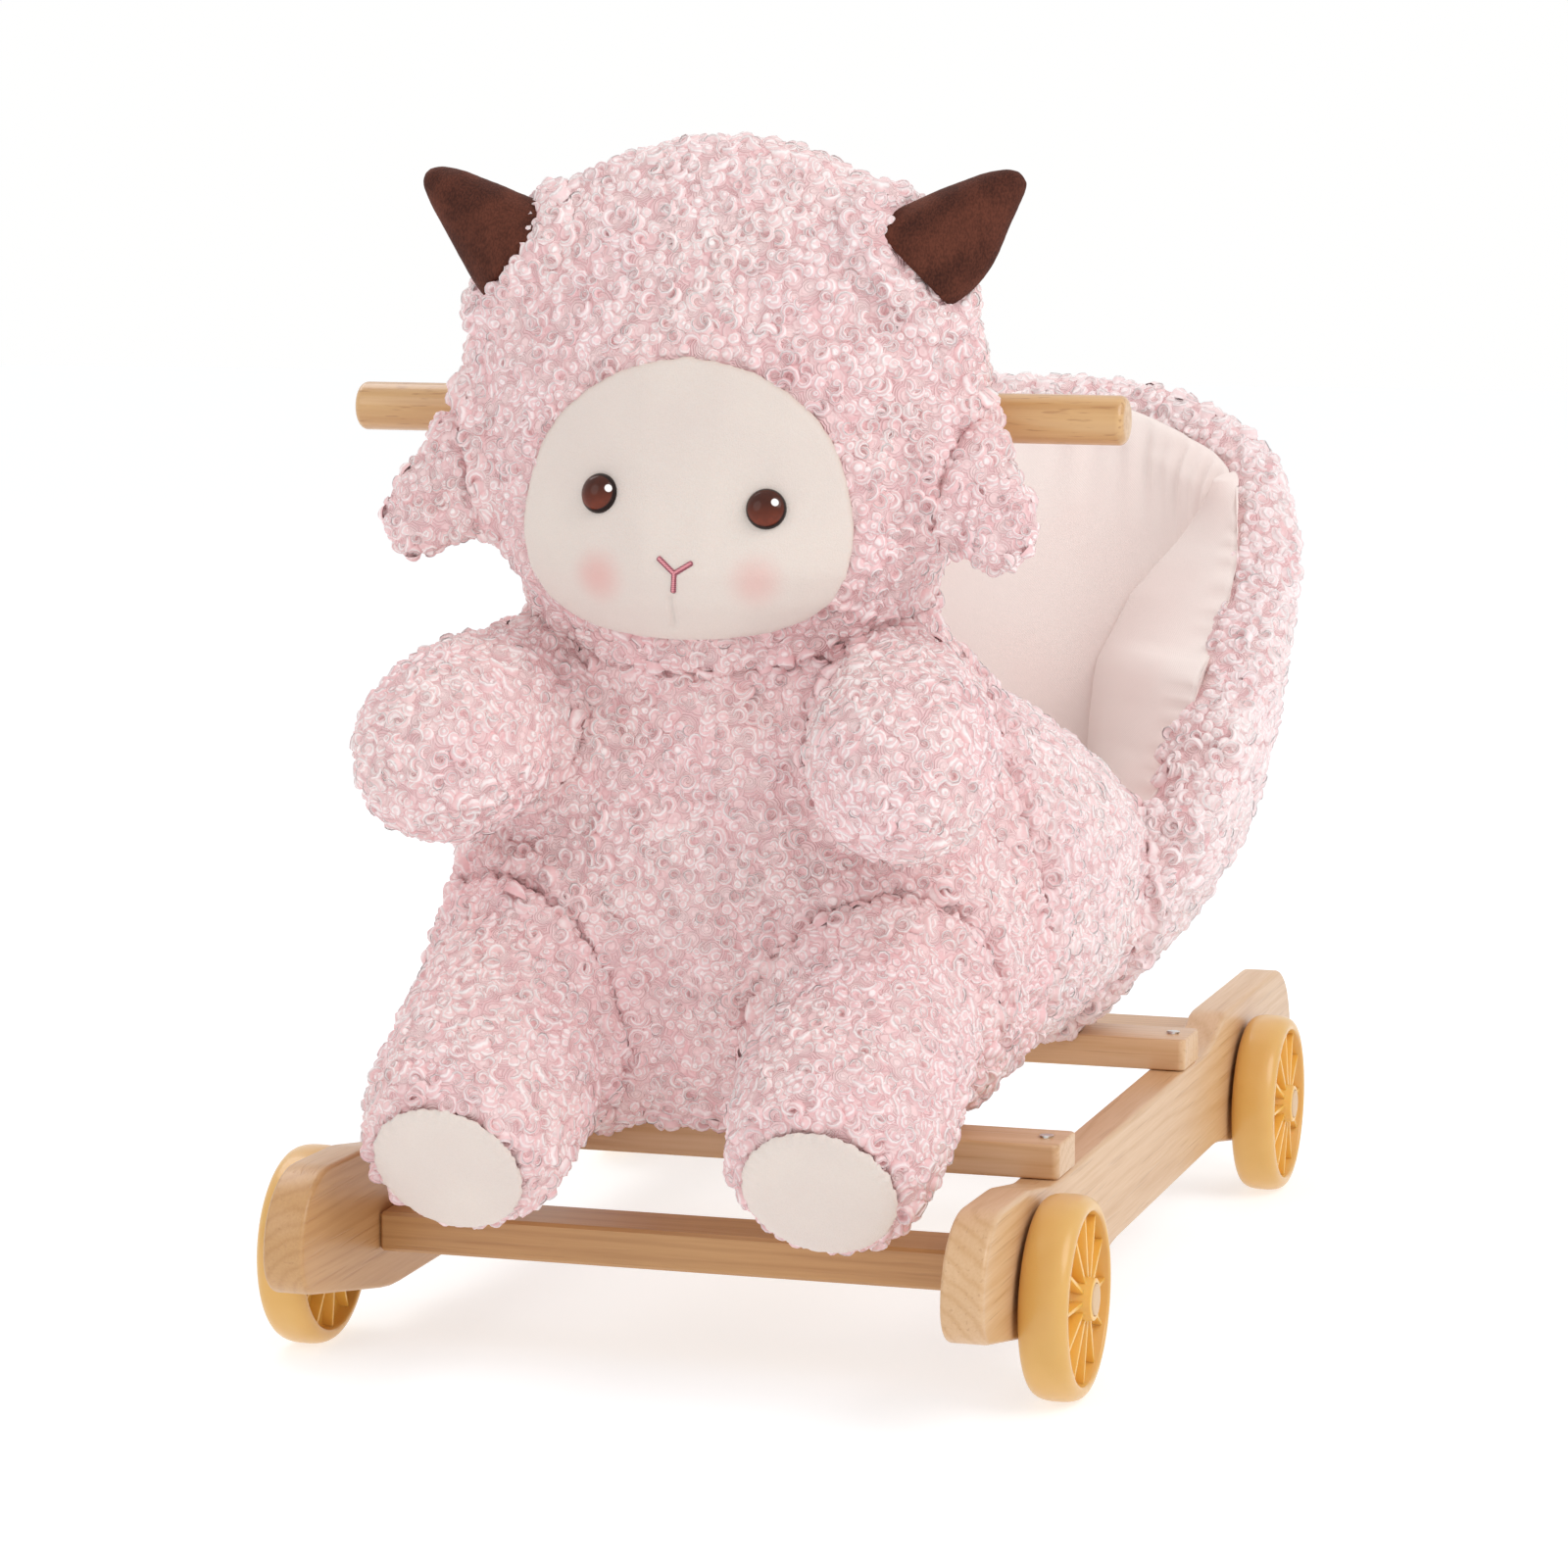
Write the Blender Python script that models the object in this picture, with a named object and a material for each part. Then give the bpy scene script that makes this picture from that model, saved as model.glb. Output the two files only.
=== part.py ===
"""A plush lamb to ride on: a stuffed animal with a padded seat shell on a wheeled wooden base.

The lamb faces -Y, +Z is up, and the plane X = 0 halves it. The ground is Z = 0, and the origin
lies under the middle of the side boards. All sizes are metres.
"""

import math

import bmesh
import bpy
import numpy as np
from mathutils import Matrix, Vector

# Clearances
FACE_GAP = 0.0003
CUTTER_OVERRUN = 0.010
SMOOTH_ANGLE = math.radians(38)
ARC_STEP = math.radians(18)

# Side boards
BOARD_LENGTH = 0.654
BOARD_HEIGHT = 0.078
BOARD_THICKNESS = 0.019
BOARD_SPACING = 0.286
BOARD_CLEARANCE = 0.0235
BOARD_EDGE = 0.003
WAIST_SHARE = 0.817
# Corners of the outline: along the board, up it, and the radius, each over its own size
BOARD_OUTLINE_SHARES = (
    (-0.500, 0.930, 0.45),
    (-0.379, 0.904, 0.77),
    (-0.315, WAIST_SHARE, 0.77),
    (0.182, WAIST_SHARE, 1.30),
    (0.304, 0.965, 1.00),
    (0.500, 0.965, 0.54),
    (0.500, 0.135, 0.28),
    (0.419, 0.000, 1.20),
    (0.281, 0.000, 1.00),
    (0.167, 0.160, 1.30),
    (-0.139, 0.154, 1.30),
    (-0.216, 0.000, 0.90),
    (-0.338, 0.000, 1.50),
    (-0.500, 0.263, 0.23),
)

# Cross rails and slats
RAIL_DEPTH = 0.036
RAIL_HEIGHT = 0.018
RAIL_EDGE = 0.0015
FRONT_RAIL_SETBACK = 0.108
FRONT_RAIL_LIFT = 0.044
REAR_RAIL_SETBACK = 0.114
REAR_RAIL_LIFT = 0.064
SLAT_DEPTH = 0.034
SLAT_THICKNESS = 0.0155
SLAT_CORNER = 0.006
SLAT_EDGE = 0.0012
FRONT_SLAT_SETBACK = 0.147
REAR_SLAT_SETBACK = 0.404

# Countersunk wood screws
SCREW_RADIUS = 0.0019
SCREW_HEAD_RADIUS = 0.0034
SCREW_HEAD_DEPTH = 0.0022
SCREW_SINK = 0.0004
SLAT_SCREW_LENGTH = 0.028
RAIL_SCREW_LENGTH = 0.034
BASE_SCREW_LENGTH = 0.024
SCREW_SIDES = 10

# Wheels, bolts, washers and hub caps
WHEEL_DIAMETER = 0.090
WHEEL_WIDTH = 0.022
WHEEL_STANDOFF = 0.002
WHEELBASE = 0.440
AXLE_SETBACK = 0.091
TREAD_CORNER = 0.0035
DISH_RADIUS = 0.0375
DISH_TAPER = 0.0015
WEB_THICKNESS = 0.004
HUB_RADIUS = 0.009
HUB_TAPER = 0.0015
HUB_STANDOUT = 0.0027
RIB_COUNT = 12
RIB_THICKNESS = 0.0018
RIB_ROOT_RADIUS = 0.0062
RIB_RECESS = 0.0035
HUB_SOCKET_RADIUS = 0.0071
HUB_SOCKET_DEPTH = 0.0070
BOLT_RADIUS = 0.004
BOLT_HEAD_RADIUS = 0.0060
BOLT_HEAD_HEIGHT = 0.0036
BOLT_ENGAGEMENT = 0.015
WASHER_RADIUS = 0.009
CAP_STANDOUT = 0.0006
CAP_CHAMFER = 0.0008
WHEEL_SIDES = 28
BOLT_SIDES = 12

# Handlebar and the wood inside the plush
BAR_LENGTH = 0.360
BAR_DIAMETER = 0.022
BAR_END_RADIUS = 0.005
BAR_LIFT = 0.3161
BAR_SETBACK = 0.027
BAR_SIDES = 20
POST_SIDE = 0.044
POST_ABOVE_BAR = 0.024
BASE_BOARD_WIDTH = 0.130
BASE_BOARD_THICKNESS = 0.012
BASE_BOARD_INSET = 0.004
BACK_BLOCK_WIDTH = 0.110
BACK_BLOCK_DEPTH = 0.034
BACK_BLOCK_HEIGHT = 0.045
BACK_BOARD_WIDTH = 0.190
BACK_BOARD_LENGTH = 0.262
BACK_BOARD_THICKNESS = 0.009
BACK_BOARD_SETBACK = 0.320
BACK_LEAN = math.radians(18.5)

# The plush is placed from the front slat: each setback runs back from the slat's middle, and
# each lift runs up from the slat's top. Torso: rings stacked upwards, whose rows are height,
# width, front and back, over the sizes above them
TORSO_SETBACK = 0.034
TORSO_HEIGHT = 0.250
TORSO_HALF_WIDTH = 0.139
TORSO_FRONT = 0.084
TORSO_BACK = 0.080
TORSO_ROWS_SHARES = (
    (0.00, 0.76, 0.78, 0.80),
    (0.05, 0.86, 0.88, 0.90),
    (0.15, 0.95, 0.97, 0.97),
    (0.29, 1.00, 1.00, 1.00),
    (0.46, 0.95, 0.97, 1.00),
    (0.64, 0.84, 0.86, 0.94),
    (0.82, 0.73, 0.72, 0.86),
    (1.00, 0.56, 0.52, 0.66),
)
TORSO_SIDES = 26

# Saddle: the body behind the torso, rings along Y. Rows are place, width and top, as shares
SADDLE_SETBACK = 0.024
SADDLE_LENGTH = 0.258
SADDLE_HALF_WIDTH = 0.153
SADDLE_HEIGHT = 0.212
SADDLE_BELLY = 0.098
SADDLE_ROWS_SHARES = (
    (0.00, 0.80, 1.060),
    (0.21, 0.95, 1.050),
    (0.40, 1.00, 0.960),
    (0.55, 1.00, 0.885),
    (0.70, 0.96, 0.826),
    (0.84, 0.87, 0.745),
    (0.94, 0.70, 0.620),
    (1.00, 0.48, 0.480),
)
SADDLE_BACK_POWER = 2.2
SADDLE_BELLY_POWER = 2.6
SADDLE_SAG = 0.006
SADDLE_SIDES = 24

# Head: rings stacked upwards, rows as for the torso
HEAD_SETBACK = 0.006
HEAD_LIFT = 0.2057
HEAD_HEIGHT = 0.232
HEAD_HALF_WIDTH = 0.121
HEAD_FRONT = 0.072
HEAD_BACK = 0.086
HEAD_ROWS_SHARES = (
    (0.00, 0.16, 0.24, 0.16),
    (0.03, 0.38, 0.56, 0.38),
    (0.10, 0.64, 0.84, 0.62),
    (0.21, 0.83, 0.99, 0.82),
    (0.34, 0.95, 0.87, 0.95),
    (0.48, 1.00, 0.76, 1.00),
    (0.62, 0.98, 0.64, 0.98),
    (0.76, 0.88, 0.52, 0.95),
    (0.88, 0.69, 0.38, 0.80),
    (0.97, 0.37, 0.20, 0.48),
    (1.00, 0.16, 0.09, 0.22),
)
HEAD_SIDES = 26

# Face panel: an egg-shaped skin on the head's front, lifted from the head's foot
FACE_HEIGHT = 0.122
FACE_HALF_WIDTH = 0.076
FACE_LIFT = 0.0165
FACE_THICKNESS = 0.0030
# Half outline from the chin up: height over the face's, width over its half width
FACE_EDGE_SHARES = (
    (0.00, 0.00),
    (0.03, 0.50),
    (0.14, 0.85),
    (0.34, 1.00),
    (0.58, 0.92),
    (0.80, 0.70),
    (0.95, 0.36),
    (1.00, 0.00),
)

# Eyes, lifted from the head's foot
EYE_RADIUS = 0.0085
EYE_BULGE = 0.0060
EYE_X = 0.0375
EYE_LIFT = 0.0768
EYE_SIDES = 16

# Horns and ears, from the middle of the head's foot: a root, a tip and rings between them
HORN_ROOT = (0.088, -0.012, 0.178)
HORN_TIP = (0.135, -0.002, 0.220)
HORN_HALF_WIDTH = 0.0245
HORN_HALF_DEPTH = 0.015
HORN_ROWS_SHARES = (
    (0.00, 1.02, 1.00, 0.00),
    (0.20, 0.94, 0.96, 0.00),
    (0.50, 0.72, 0.80, 0.02),
    (0.80, 0.46, 0.58, 0.08),
    (0.95, 0.27, 0.38, 0.13),
    (1.00, 0.12, 0.16, 0.16),
)
EAR_ROOT = (0.107, -0.006, 0.109)
EAR_TIP = (0.142, -0.031, 0.049)
EAR_HALF_WIDTH = 0.0215
EAR_HALF_DEPTH = 0.011
EAR_ROWS_SHARES = (
    (0.00, 0.45, 0.80, 0.00),
    (0.18, 0.66, 0.95, 0.00),
    (0.45, 0.92, 1.00, 0.00),
    (0.70, 1.00, 1.00, 0.00),
    (0.88, 0.78, 0.86, 0.00),
    (0.97, 0.42, 0.54, 0.00),
    (1.00, 0.14, 0.22, 0.00),
)

# Arms and legs, from the middle of the torso's foot
ARM_ROOT = (0.084, -0.026, 0.1987)
ARM_TIP = (0.115, -0.141, 0.1577)
ARM_HALF_WIDTH = 0.0430
ARM_ROWS_SHARES = (
    (0.00, 0.62, 0.62, 0.00),
    (0.18, 0.80, 0.80, 0.00),
    (0.40, 0.96, 0.96, 0.00),
    (0.62, 1.00, 1.00, 0.00),
    (0.80, 0.90, 0.90, 0.00),
    (0.93, 0.62, 0.62, 0.00),
    (1.00, 0.24, 0.24, 0.00),
)
LEG_ROOT = (0.079, -0.004, 0.0867)
LEG_TIP = (0.084, -0.157, -0.0033)
LEG_HALF_WIDTH = 0.050
LEG_ROWS_SHARES = (
    (0.00, 0.78, 0.84, 0.00),
    (0.22, 0.95, 0.98, 0.00),
    (0.50, 1.00, 1.00, 0.00),
    (0.78, 1.00, 0.98, 0.00),
    (0.94, 0.90, 0.88, 0.00),
    (1.00, 0.73, 0.71, 0.00),
)
SOLE_RADIUS_SHARE = 0.69
SOLE_THICKNESS = 0.0035
LIMB_SIDES = 18
SMALL_SIDES = 14

# Seat shell: a padded wall lofted round the seat
SHELL_SETBACK = 0.274
SHELL_HEIGHT = 0.315
SHELL_HALF_WIDTH = 0.198
SHELL_REACH = 0.163
SHELL_WALL = 0.034
SHELL_SQUARENESS = 0.60
SHELL_END_ANGLE = math.radians(118)
SHELL_STATIONS = 25
# How wide the wall stands at each height: height, half width, rearward reach
SHELL_SPREAD_SHARES = (
    (0.00, 0.514, 0.400),
    (0.05, 0.611, 0.425),
    (0.14, 0.750, 0.480),
    (0.28, 0.905, 0.575),
    (0.50, 0.985, 0.720),
    (0.72, 1.000, 0.870),
    (0.88, 0.992, 0.970),
    (1.00, 0.955, 1.000),
)
# Height of the rim: angle from straight back over a right angle, height over the shell's
SHELL_RIM_SHARES = (
    (0.00, 1.000),
    (0.28, 0.985),
    (0.44, 0.945),
    (0.58, 0.905),
    (0.72, 0.853),
    (0.83, 0.735),
    (1.00, 0.600),
    (1.17, 0.435),
    (1.31, 0.360),
)
# The wall's section: height over the wall's, side from -1 outside to 1 inside
SHELL_SECTION_SHARES = (
    (0.000, -0.60),
    (0.035, -1.00),
    (0.250, -1.00),
    (0.500, -1.00),
    (0.750, -1.00),
    (0.920, -0.92),
    (0.982, -0.52),
    (1.000, 0.00),
    (0.982, 0.52),
    (0.920, 0.92),
    (0.750, 1.00),
    (0.450, 1.00),
    (0.150, 1.00),
    (0.000, 0.60),
)

# Linings: corners of each pad's seam from the middle of the seat shell's foot, over the
# shell's half width, reach and height
BACK_LINING_SHARES = (
    (0.455, 0.429, 0.406),
    (0.515, 0.503, 0.603),
    (0.737, 0.491, 0.832),
    (0.586, 0.663, 0.908),
    (0.000, 0.724, 0.921),
    (0.000, 0.442, 0.394),
)
BACK_LINING_PUFF = 0.012
WING_LINING_SHARES = (
    (0.798, 0.405, 0.851),
    (0.818, 0.160, 0.686),
    (0.798, -0.110, 0.571),
    (0.717, -0.368, 0.406),
    (0.606, -0.061, 0.356),
    (0.495, 0.307, 0.406),
    (0.576, 0.429, 0.610),
)
WING_LINING_PUFF = 0.010

# Looks: colour, roughness, metallic
PINE = ((0.78, 0.58, 0.36), 0.42, 0.0)
PLYWOOD = ((0.72, 0.58, 0.40), 0.60, 0.0)
HONEY_PLASTIC = ((0.86, 0.55, 0.16), 0.35, 0.0)
CAP_PLASTIC = ((0.80, 0.60, 0.45), 0.40, 0.0)
STEEL = ((0.62, 0.62, 0.62), 0.30, 1.0)
PINK_PLUSH = ((0.84, 0.63, 0.68), 0.95, 0.0)
CREAM_VELOUR = ((0.90, 0.80, 0.77), 0.85, 0.0)
BROWN_VELOUR = ((0.14, 0.05, 0.035), 0.90, 0.0)
PALE_SATIN = ((0.88, 0.79, 0.76), 0.50, 0.0)
EYE_BROWN = ((0.05, 0.015, 0.01), 0.08, 0.0)

# Places worked out from the sizes above
WHEEL_RADIUS = WHEEL_DIAMETER / 2
BOARD_INNER_X = BOARD_SPACING / 2
BOARD_OUTER_X = BOARD_INNER_X + BOARD_THICKNESS
BOARD_FRONT_Y = -BOARD_LENGTH / 2
FRONT_AXLE_Y = BOARD_FRONT_Y + AXLE_SETBACK
REAR_AXLE_Y = FRONT_AXLE_Y + WHEELBASE
WHEEL_INNER_X = BOARD_OUTER_X + WHEEL_STANDOFF
FRONT_RAIL_Y = BOARD_FRONT_Y + FRONT_RAIL_SETBACK
REAR_RAIL_Y = -BOARD_FRONT_Y - REAR_RAIL_SETBACK
FRONT_SLAT_Y = BOARD_FRONT_Y + FRONT_SLAT_SETBACK
REAR_SLAT_Y = BOARD_FRONT_Y + REAR_SLAT_SETBACK
SLAT_BOTTOM = BOARD_CLEARANCE + BOARD_HEIGHT * WAIST_SHARE + FACE_GAP
SLAT_TOP = SLAT_BOTTOM + SLAT_THICKNESS
PLUSH_FOOT = SLAT_TOP + FACE_GAP
BAR_Y = FRONT_SLAT_Y + BAR_SETBACK
BAR_HEIGHT = PLUSH_FOOT + BAR_LIFT
BACK_BOARD_Y = FRONT_SLAT_Y + BACK_BOARD_SETBACK
TORSO_PLACE = Vector((0, FRONT_SLAT_Y + TORSO_SETBACK, PLUSH_FOOT))
SADDLE_FRONT_Y = FRONT_SLAT_Y + SADDLE_SETBACK
HEAD_PLACE = Vector((0, FRONT_SLAT_Y + HEAD_SETBACK, PLUSH_FOOT + HEAD_LIFT))
SHELL_PLACE = Vector((0, FRONT_SLAT_Y + SHELL_SETBACK, PLUSH_FOOT))
BASE_BOARD_TOP = PLUSH_FOOT + BASE_BOARD_THICKNESS
BASE_BOARD_FRONT = FRONT_SLAT_Y - SLAT_DEPTH / 2 + BASE_BOARD_INSET
BASE_BOARD_REAR = BACK_BOARD_Y
BASE_BOARD_LENGTH = BASE_BOARD_REAR - BASE_BOARD_FRONT
BASE_BOARD_Y = (BASE_BOARD_FRONT + BASE_BOARD_REAR) / 2
POST_FOOT = BASE_BOARD_TOP + FACE_GAP
POST_HEIGHT = BAR_HEIGHT + POST_ABOVE_BAR - POST_FOOT
SIDES = (("left", 1), ("right", -1))
ENDS = (("front", FRONT_AXLE_Y), ("rear", REAR_AXLE_Y))


def clear_scene():
    """Take everything out of the scene."""
    for thing in list(bpy.data.objects):
        bpy.data.objects.remove(thing, do_unlink=True)


def finish(name, look):
    """Make a plain material of one colour, roughness and metallic value."""
    colour, roughness, metallic = look
    material = bpy.data.materials.new(name)
    material.use_nodes = True
    surface = material.node_tree.nodes["Principled BSDF"]
    surface.inputs["Base Color"].default_value = (*colour, 1.0)
    surface.inputs["Roughness"].default_value = roughness
    surface.inputs["Metallic"].default_value = metallic
    material.diffuse_color = (*colour, 1.0)
    return material


def add(name, bm, look, matrix=Matrix()):
    """Turn a bmesh into a named, finished object, placed by its matrix."""
    bmesh.ops.recalc_face_normals(bm, faces=bm.faces)
    mesh = bpy.data.meshes.new(name)
    bm.to_mesh(mesh)
    bm.free()
    mesh.shade_smooth()
    mesh.set_sharp_from_angle(angle=SMOOTH_ANGLE)
    mesh.materials.append(finish(name, look))
    thing = bpy.data.objects.new(name, mesh)
    thing.matrix_world = matrix
    bpy.context.scene.collection.objects.link(thing)
    return thing


def add_cutter(name, bm, matrix=Matrix()):
    """Make an object that only cuts others."""
    cutter = add(name, bm, PINE, matrix)
    cutter.hide_render = True
    cutter.display_type = 'WIRE'
    return cutter


def combine(thing, operation, *others):
    """Put a Boolean on an object for each of the others."""
    for other in others:
        modifier = thing.modifiers.new(operation.lower() + "_" + other.name, 'BOOLEAN')
        modifier.operation = operation
        modifier.solver = 'EXACT'
        modifier.object = other


def cut(thing, *cutters):
    """Take cutters out of an object."""
    combine(thing, 'DIFFERENCE', *cutters)


def at(x, y, z):
    """Matrix of a place."""
    return Matrix.Translation((x, y, z))


def aimed(place, root, tip, side):
    """Matrix that stands local Z along root to tip, with local X kept close to the world's."""
    start = place + Vector((root[0] * side, root[1], root[2]))
    end = place + Vector((tip[0] * side, tip[1], tip[2]))
    along = (end - start).normalized()
    deep = along.cross(Vector((1, 0, 0))).normalized()
    across = deep.cross(along)
    turn = Matrix((across, deep, along)).transposed().to_4x4()
    return Matrix.Translation(start) @ turn


def eased(rows, steps):
    """Read a smooth curve through rows of numbers, with steps readings to each gap."""
    rows = np.array(rows, dtype=float)
    padded = np.vstack([2 * rows[0] - rows[1], rows, 2 * rows[-1] - rows[-2]])
    readings = []
    for before, start, end, after in zip(padded, padded[1:], padded[2:], padded[3:]):
        for t in np.arange(steps) / steps:
            cubic = 3 * (start - end) + after - before
            square = 2 * before - 5 * start + 4 * end - after
            readings.append(start + t / 2 * (end - before + t * (square + t * cubic)))
    readings.append(rows[-1])
    return readings


def loft(rings):
    """Skin a row of equal rings of points and close both ends."""
    bm = bmesh.new()
    loops = [[bm.verts.new(point) for point in ring] for ring in rings]
    for lower, upper in zip(loops, loops[1:]):
        for i, corner in enumerate(lower):
            bm.faces.new((lower[i - 1], corner, upper[i], upper[i - 1]))
    bm.faces.new(loops[0])
    bm.faces.new(loops[-1])
    return bm


def skin(rings):
    """A loft in triangles, so that a form and the room that it needs match face by face."""
    bm = loft(rings)
    bmesh.ops.triangulate(bm, faces=bm.faces, quad_method='FIXED')
    return bm


def turned(profile, sides):
    """Turn a profile of (x, radius) points about the X axis; it starts and ends on the axis."""
    bm = bmesh.new()
    verts = [bm.verts.new((x, 0, radius)) for x, radius in profile]
    for one, other in zip(verts, verts[1:]):
        bm.edges.new((one, other))
    bmesh.ops.spin(bm, geom=bm.verts[:] + bm.edges[:], cent=(0, 0, 0), axis=(1, 0, 0),
                   angle=math.tau, steps=sides, use_merge=True)
    bmesh.ops.remove_doubles(bm, verts=bm.verts, dist=FACE_GAP / 10)
    return bm


def block(width, depth, height, edge=0.0):
    """A box about the middle of its underside, with bevelled edges."""
    bm = bmesh.new()
    bmesh.ops.create_cube(bm, size=1)
    bmesh.ops.translate(bm, verts=bm.verts, vec=(0, 0, 0.5))
    bmesh.ops.scale(bm, verts=bm.verts, vec=(width, depth, height))
    if edge > 0:
        bmesh.ops.bevel(bm, geom=bm.edges[:], offset=edge, segments=1, affect='EDGES')
    return bm


def grown_block(width, depth, height):
    """The room that a box needs: the box with a face gap all round, open below."""
    bm = block(width + 2 * FACE_GAP, depth + 2 * FACE_GAP, height + CUTTER_OVERRUN + FACE_GAP)
    bmesh.ops.translate(bm, verts=bm.verts, vec=(0, 0, -CUTTER_OVERRUN))
    return bm


def rounded_outline(corners):
    """Points round a polygon whose corners (u, v, radius) are rounded by arcs."""
    points = []
    for i, (u, v, radius) in enumerate(corners):
        corner = Vector((u, v))
        back = (Vector(corners[i - 1][:2]) - corner).normalized()
        ahead = (Vector(corners[(i + 1) % len(corners)][:2]) - corner).normalized()
        half = back.angle(ahead) / 2
        centre = corner + (back + ahead).normalized() * radius / math.sin(half)
        start = (corner + back * radius / math.tan(half) - centre).normalized()
        end = (corner + ahead * radius / math.tan(half) - centre).normalized()
        steps = max(1, round((math.pi - 2 * half) / ARC_STEP))
        for k in range(steps + 1):
            points.append(centre + start.slerp(end, k / steps) * radius)
    return points


def slab(points, thickness, edge, segments):
    """Extrude an outline in the YZ plane along +X and round the edges of both faces."""
    bm = bmesh.new()
    face = bm.faces.new([bm.verts.new((0, point.x, point.y)) for point in points])
    raised = bmesh.ops.extrude_face_region(bm, geom=[face])["geom"]
    moved = [item for item in raised if isinstance(item, bmesh.types.BMVert)]
    bmesh.ops.translate(bm, verts=moved, vec=(thickness, 0, 0))
    rims = [side for side in bm.edges if side.verts[0].co.x == side.verts[1].co.x]
    bmesh.ops.recalc_face_normals(bm, faces=bm.faces)
    bmesh.ops.bevel(bm, geom=rims, offset=edge, segments=segments, profile=0.5, affect='EDGES')
    return bm


def screw_form(length, grow=0.0):
    """A countersunk screw along +X from its head; a grown one is the hole that it needs."""
    mouth = -CUTTER_OVERRUN if grow > 0 else 0.0
    profile = [(mouth, 0), (mouth, SCREW_HEAD_RADIUS + grow)]
    if grow > 0:
        profile.append((0, SCREW_HEAD_RADIUS + grow))
    profile.append((SCREW_HEAD_DEPTH, SCREW_RADIUS + grow))
    profile.append((length + grow, SCREW_RADIUS + grow))
    profile.append((length + grow, 0))
    return turned(profile, SCREW_SIDES)


def add_screw(name, length, place, direction, *carriers):
    """Drive a screw at a place along a direction and make its hole in what carries it."""
    turn = Vector((1, 0, 0)).rotation_difference(Vector(direction)).to_matrix().to_4x4()
    matrix = Matrix.Translation(Vector(place) + Vector(direction) * SCREW_SINK) @ turn
    add(name, screw_form(length), STEEL, matrix)
    hole = add_cutter("hole_" + name, screw_form(length, FACE_GAP), matrix)
    for carrier in carriers:
        cut(carrier, hole)


def add_boards():
    """The two lobed side boards."""
    corners = []
    for along, up, radius in BOARD_OUTLINE_SHARES:
        corners.append((along * BOARD_LENGTH, up * BOARD_HEIGHT, radius * BOARD_HEIGHT))
    outline = rounded_outline(corners)
    boards = {}
    for side, sign in SIDES:
        x = BOARD_INNER_X if sign > 0 else -BOARD_OUTER_X
        bm = slab(outline, BOARD_THICKNESS, BOARD_EDGE, 2)
        boards[side] = add("side_board_" + side, bm, PINE, at(x, 0, BOARD_CLEARANCE))
    return boards


def add_rails(boards):
    """The cross rails between the boards, with a screw through each board into each end."""
    length = BOARD_SPACING - 2 * FACE_GAP
    rails = (("front", FRONT_RAIL_Y, FRONT_RAIL_LIFT), ("rear", REAR_RAIL_Y, REAR_RAIL_LIFT))
    for end, y, lift in rails:
        bm = block(length, RAIL_DEPTH, RAIL_HEIGHT, RAIL_EDGE)
        rail = add(end + "_rail", bm, PINE, at(0, y, lift))
        for side, sign in SIDES:
            place = (sign * BOARD_OUTER_X, y, lift + RAIL_HEIGHT / 2)
            name = "rail_screw_" + end + "_" + side
            add_screw(name, RAIL_SCREW_LENGTH, place, (-sign, 0, 0), boards[side], rail)


def slat_form():
    """A flat slat along X with rounded ends."""
    half_length = BOARD_OUTER_X
    half_depth = SLAT_DEPTH / 2
    corners = []
    for across, along in ((-1, -1), (1, -1), (1, 1), (-1, 1)):
        corners.append((across * half_length, along * half_depth, SLAT_CORNER))
    bm = slab(rounded_outline(corners), SLAT_THICKNESS, SLAT_EDGE, 1)
    turn = Matrix(((0, 1, 0), (0, 0, 1), (1, 0, 0)))
    bmesh.ops.transform(bm, matrix=turn.to_4x4(), verts=bm.verts)
    return bm


def add_slats(boards):
    """The two slats on top of the boards, screwed down at both ends."""
    slats = {}
    for end, y in (("front", FRONT_SLAT_Y), ("rear", REAR_SLAT_Y)):
        slat = add(end + "_slat", slat_form(), PINE, at(0, y, SLAT_BOTTOM))
        slats[end] = slat
        for side, sign in SIDES:
            x = sign * (BOARD_INNER_X + BOARD_THICKNESS / 2)
            name = "slat_screw_" + end + "_" + side
            add_screw(name, SLAT_SCREW_LENGTH, (x, y, SLAT_TOP), (0, 0, -1), slat, boards[side])
    return slats


def wheel_form():
    """The wheel's turned body: tread, rim, dished web on both sides, and hub."""
    web_inner = (WHEEL_WIDTH - WEB_THICKNESS) / 2
    web_outer = web_inner + WEB_THICKNESS
    flank = WHEEL_RADIUS - TREAD_CORNER
    bend = TREAD_CORNER * (1 - math.sqrt(0.5))
    hub_root = HUB_RADIUS + HUB_TAPER
    dish_floor = DISH_RADIUS - DISH_TAPER
    profile = [
        (0, 0),
        (0, HUB_RADIUS),
        (web_inner, hub_root),
        (web_inner, dish_floor),
        (0, DISH_RADIUS),
        (0, flank),
        (bend, WHEEL_RADIUS - bend),
        (TREAD_CORNER, WHEEL_RADIUS),
        (WHEEL_WIDTH - TREAD_CORNER, WHEEL_RADIUS),
        (WHEEL_WIDTH - bend, WHEEL_RADIUS - bend),
        (WHEEL_WIDTH, flank),
        (WHEEL_WIDTH, DISH_RADIUS),
        (web_outer, dish_floor),
        (web_outer, hub_root),
        (WHEEL_WIDTH + HUB_STANDOUT, HUB_RADIUS),
        (WHEEL_WIDTH + HUB_STANDOUT, 0),
    ]
    return turned(profile, WHEEL_SIDES)


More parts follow.
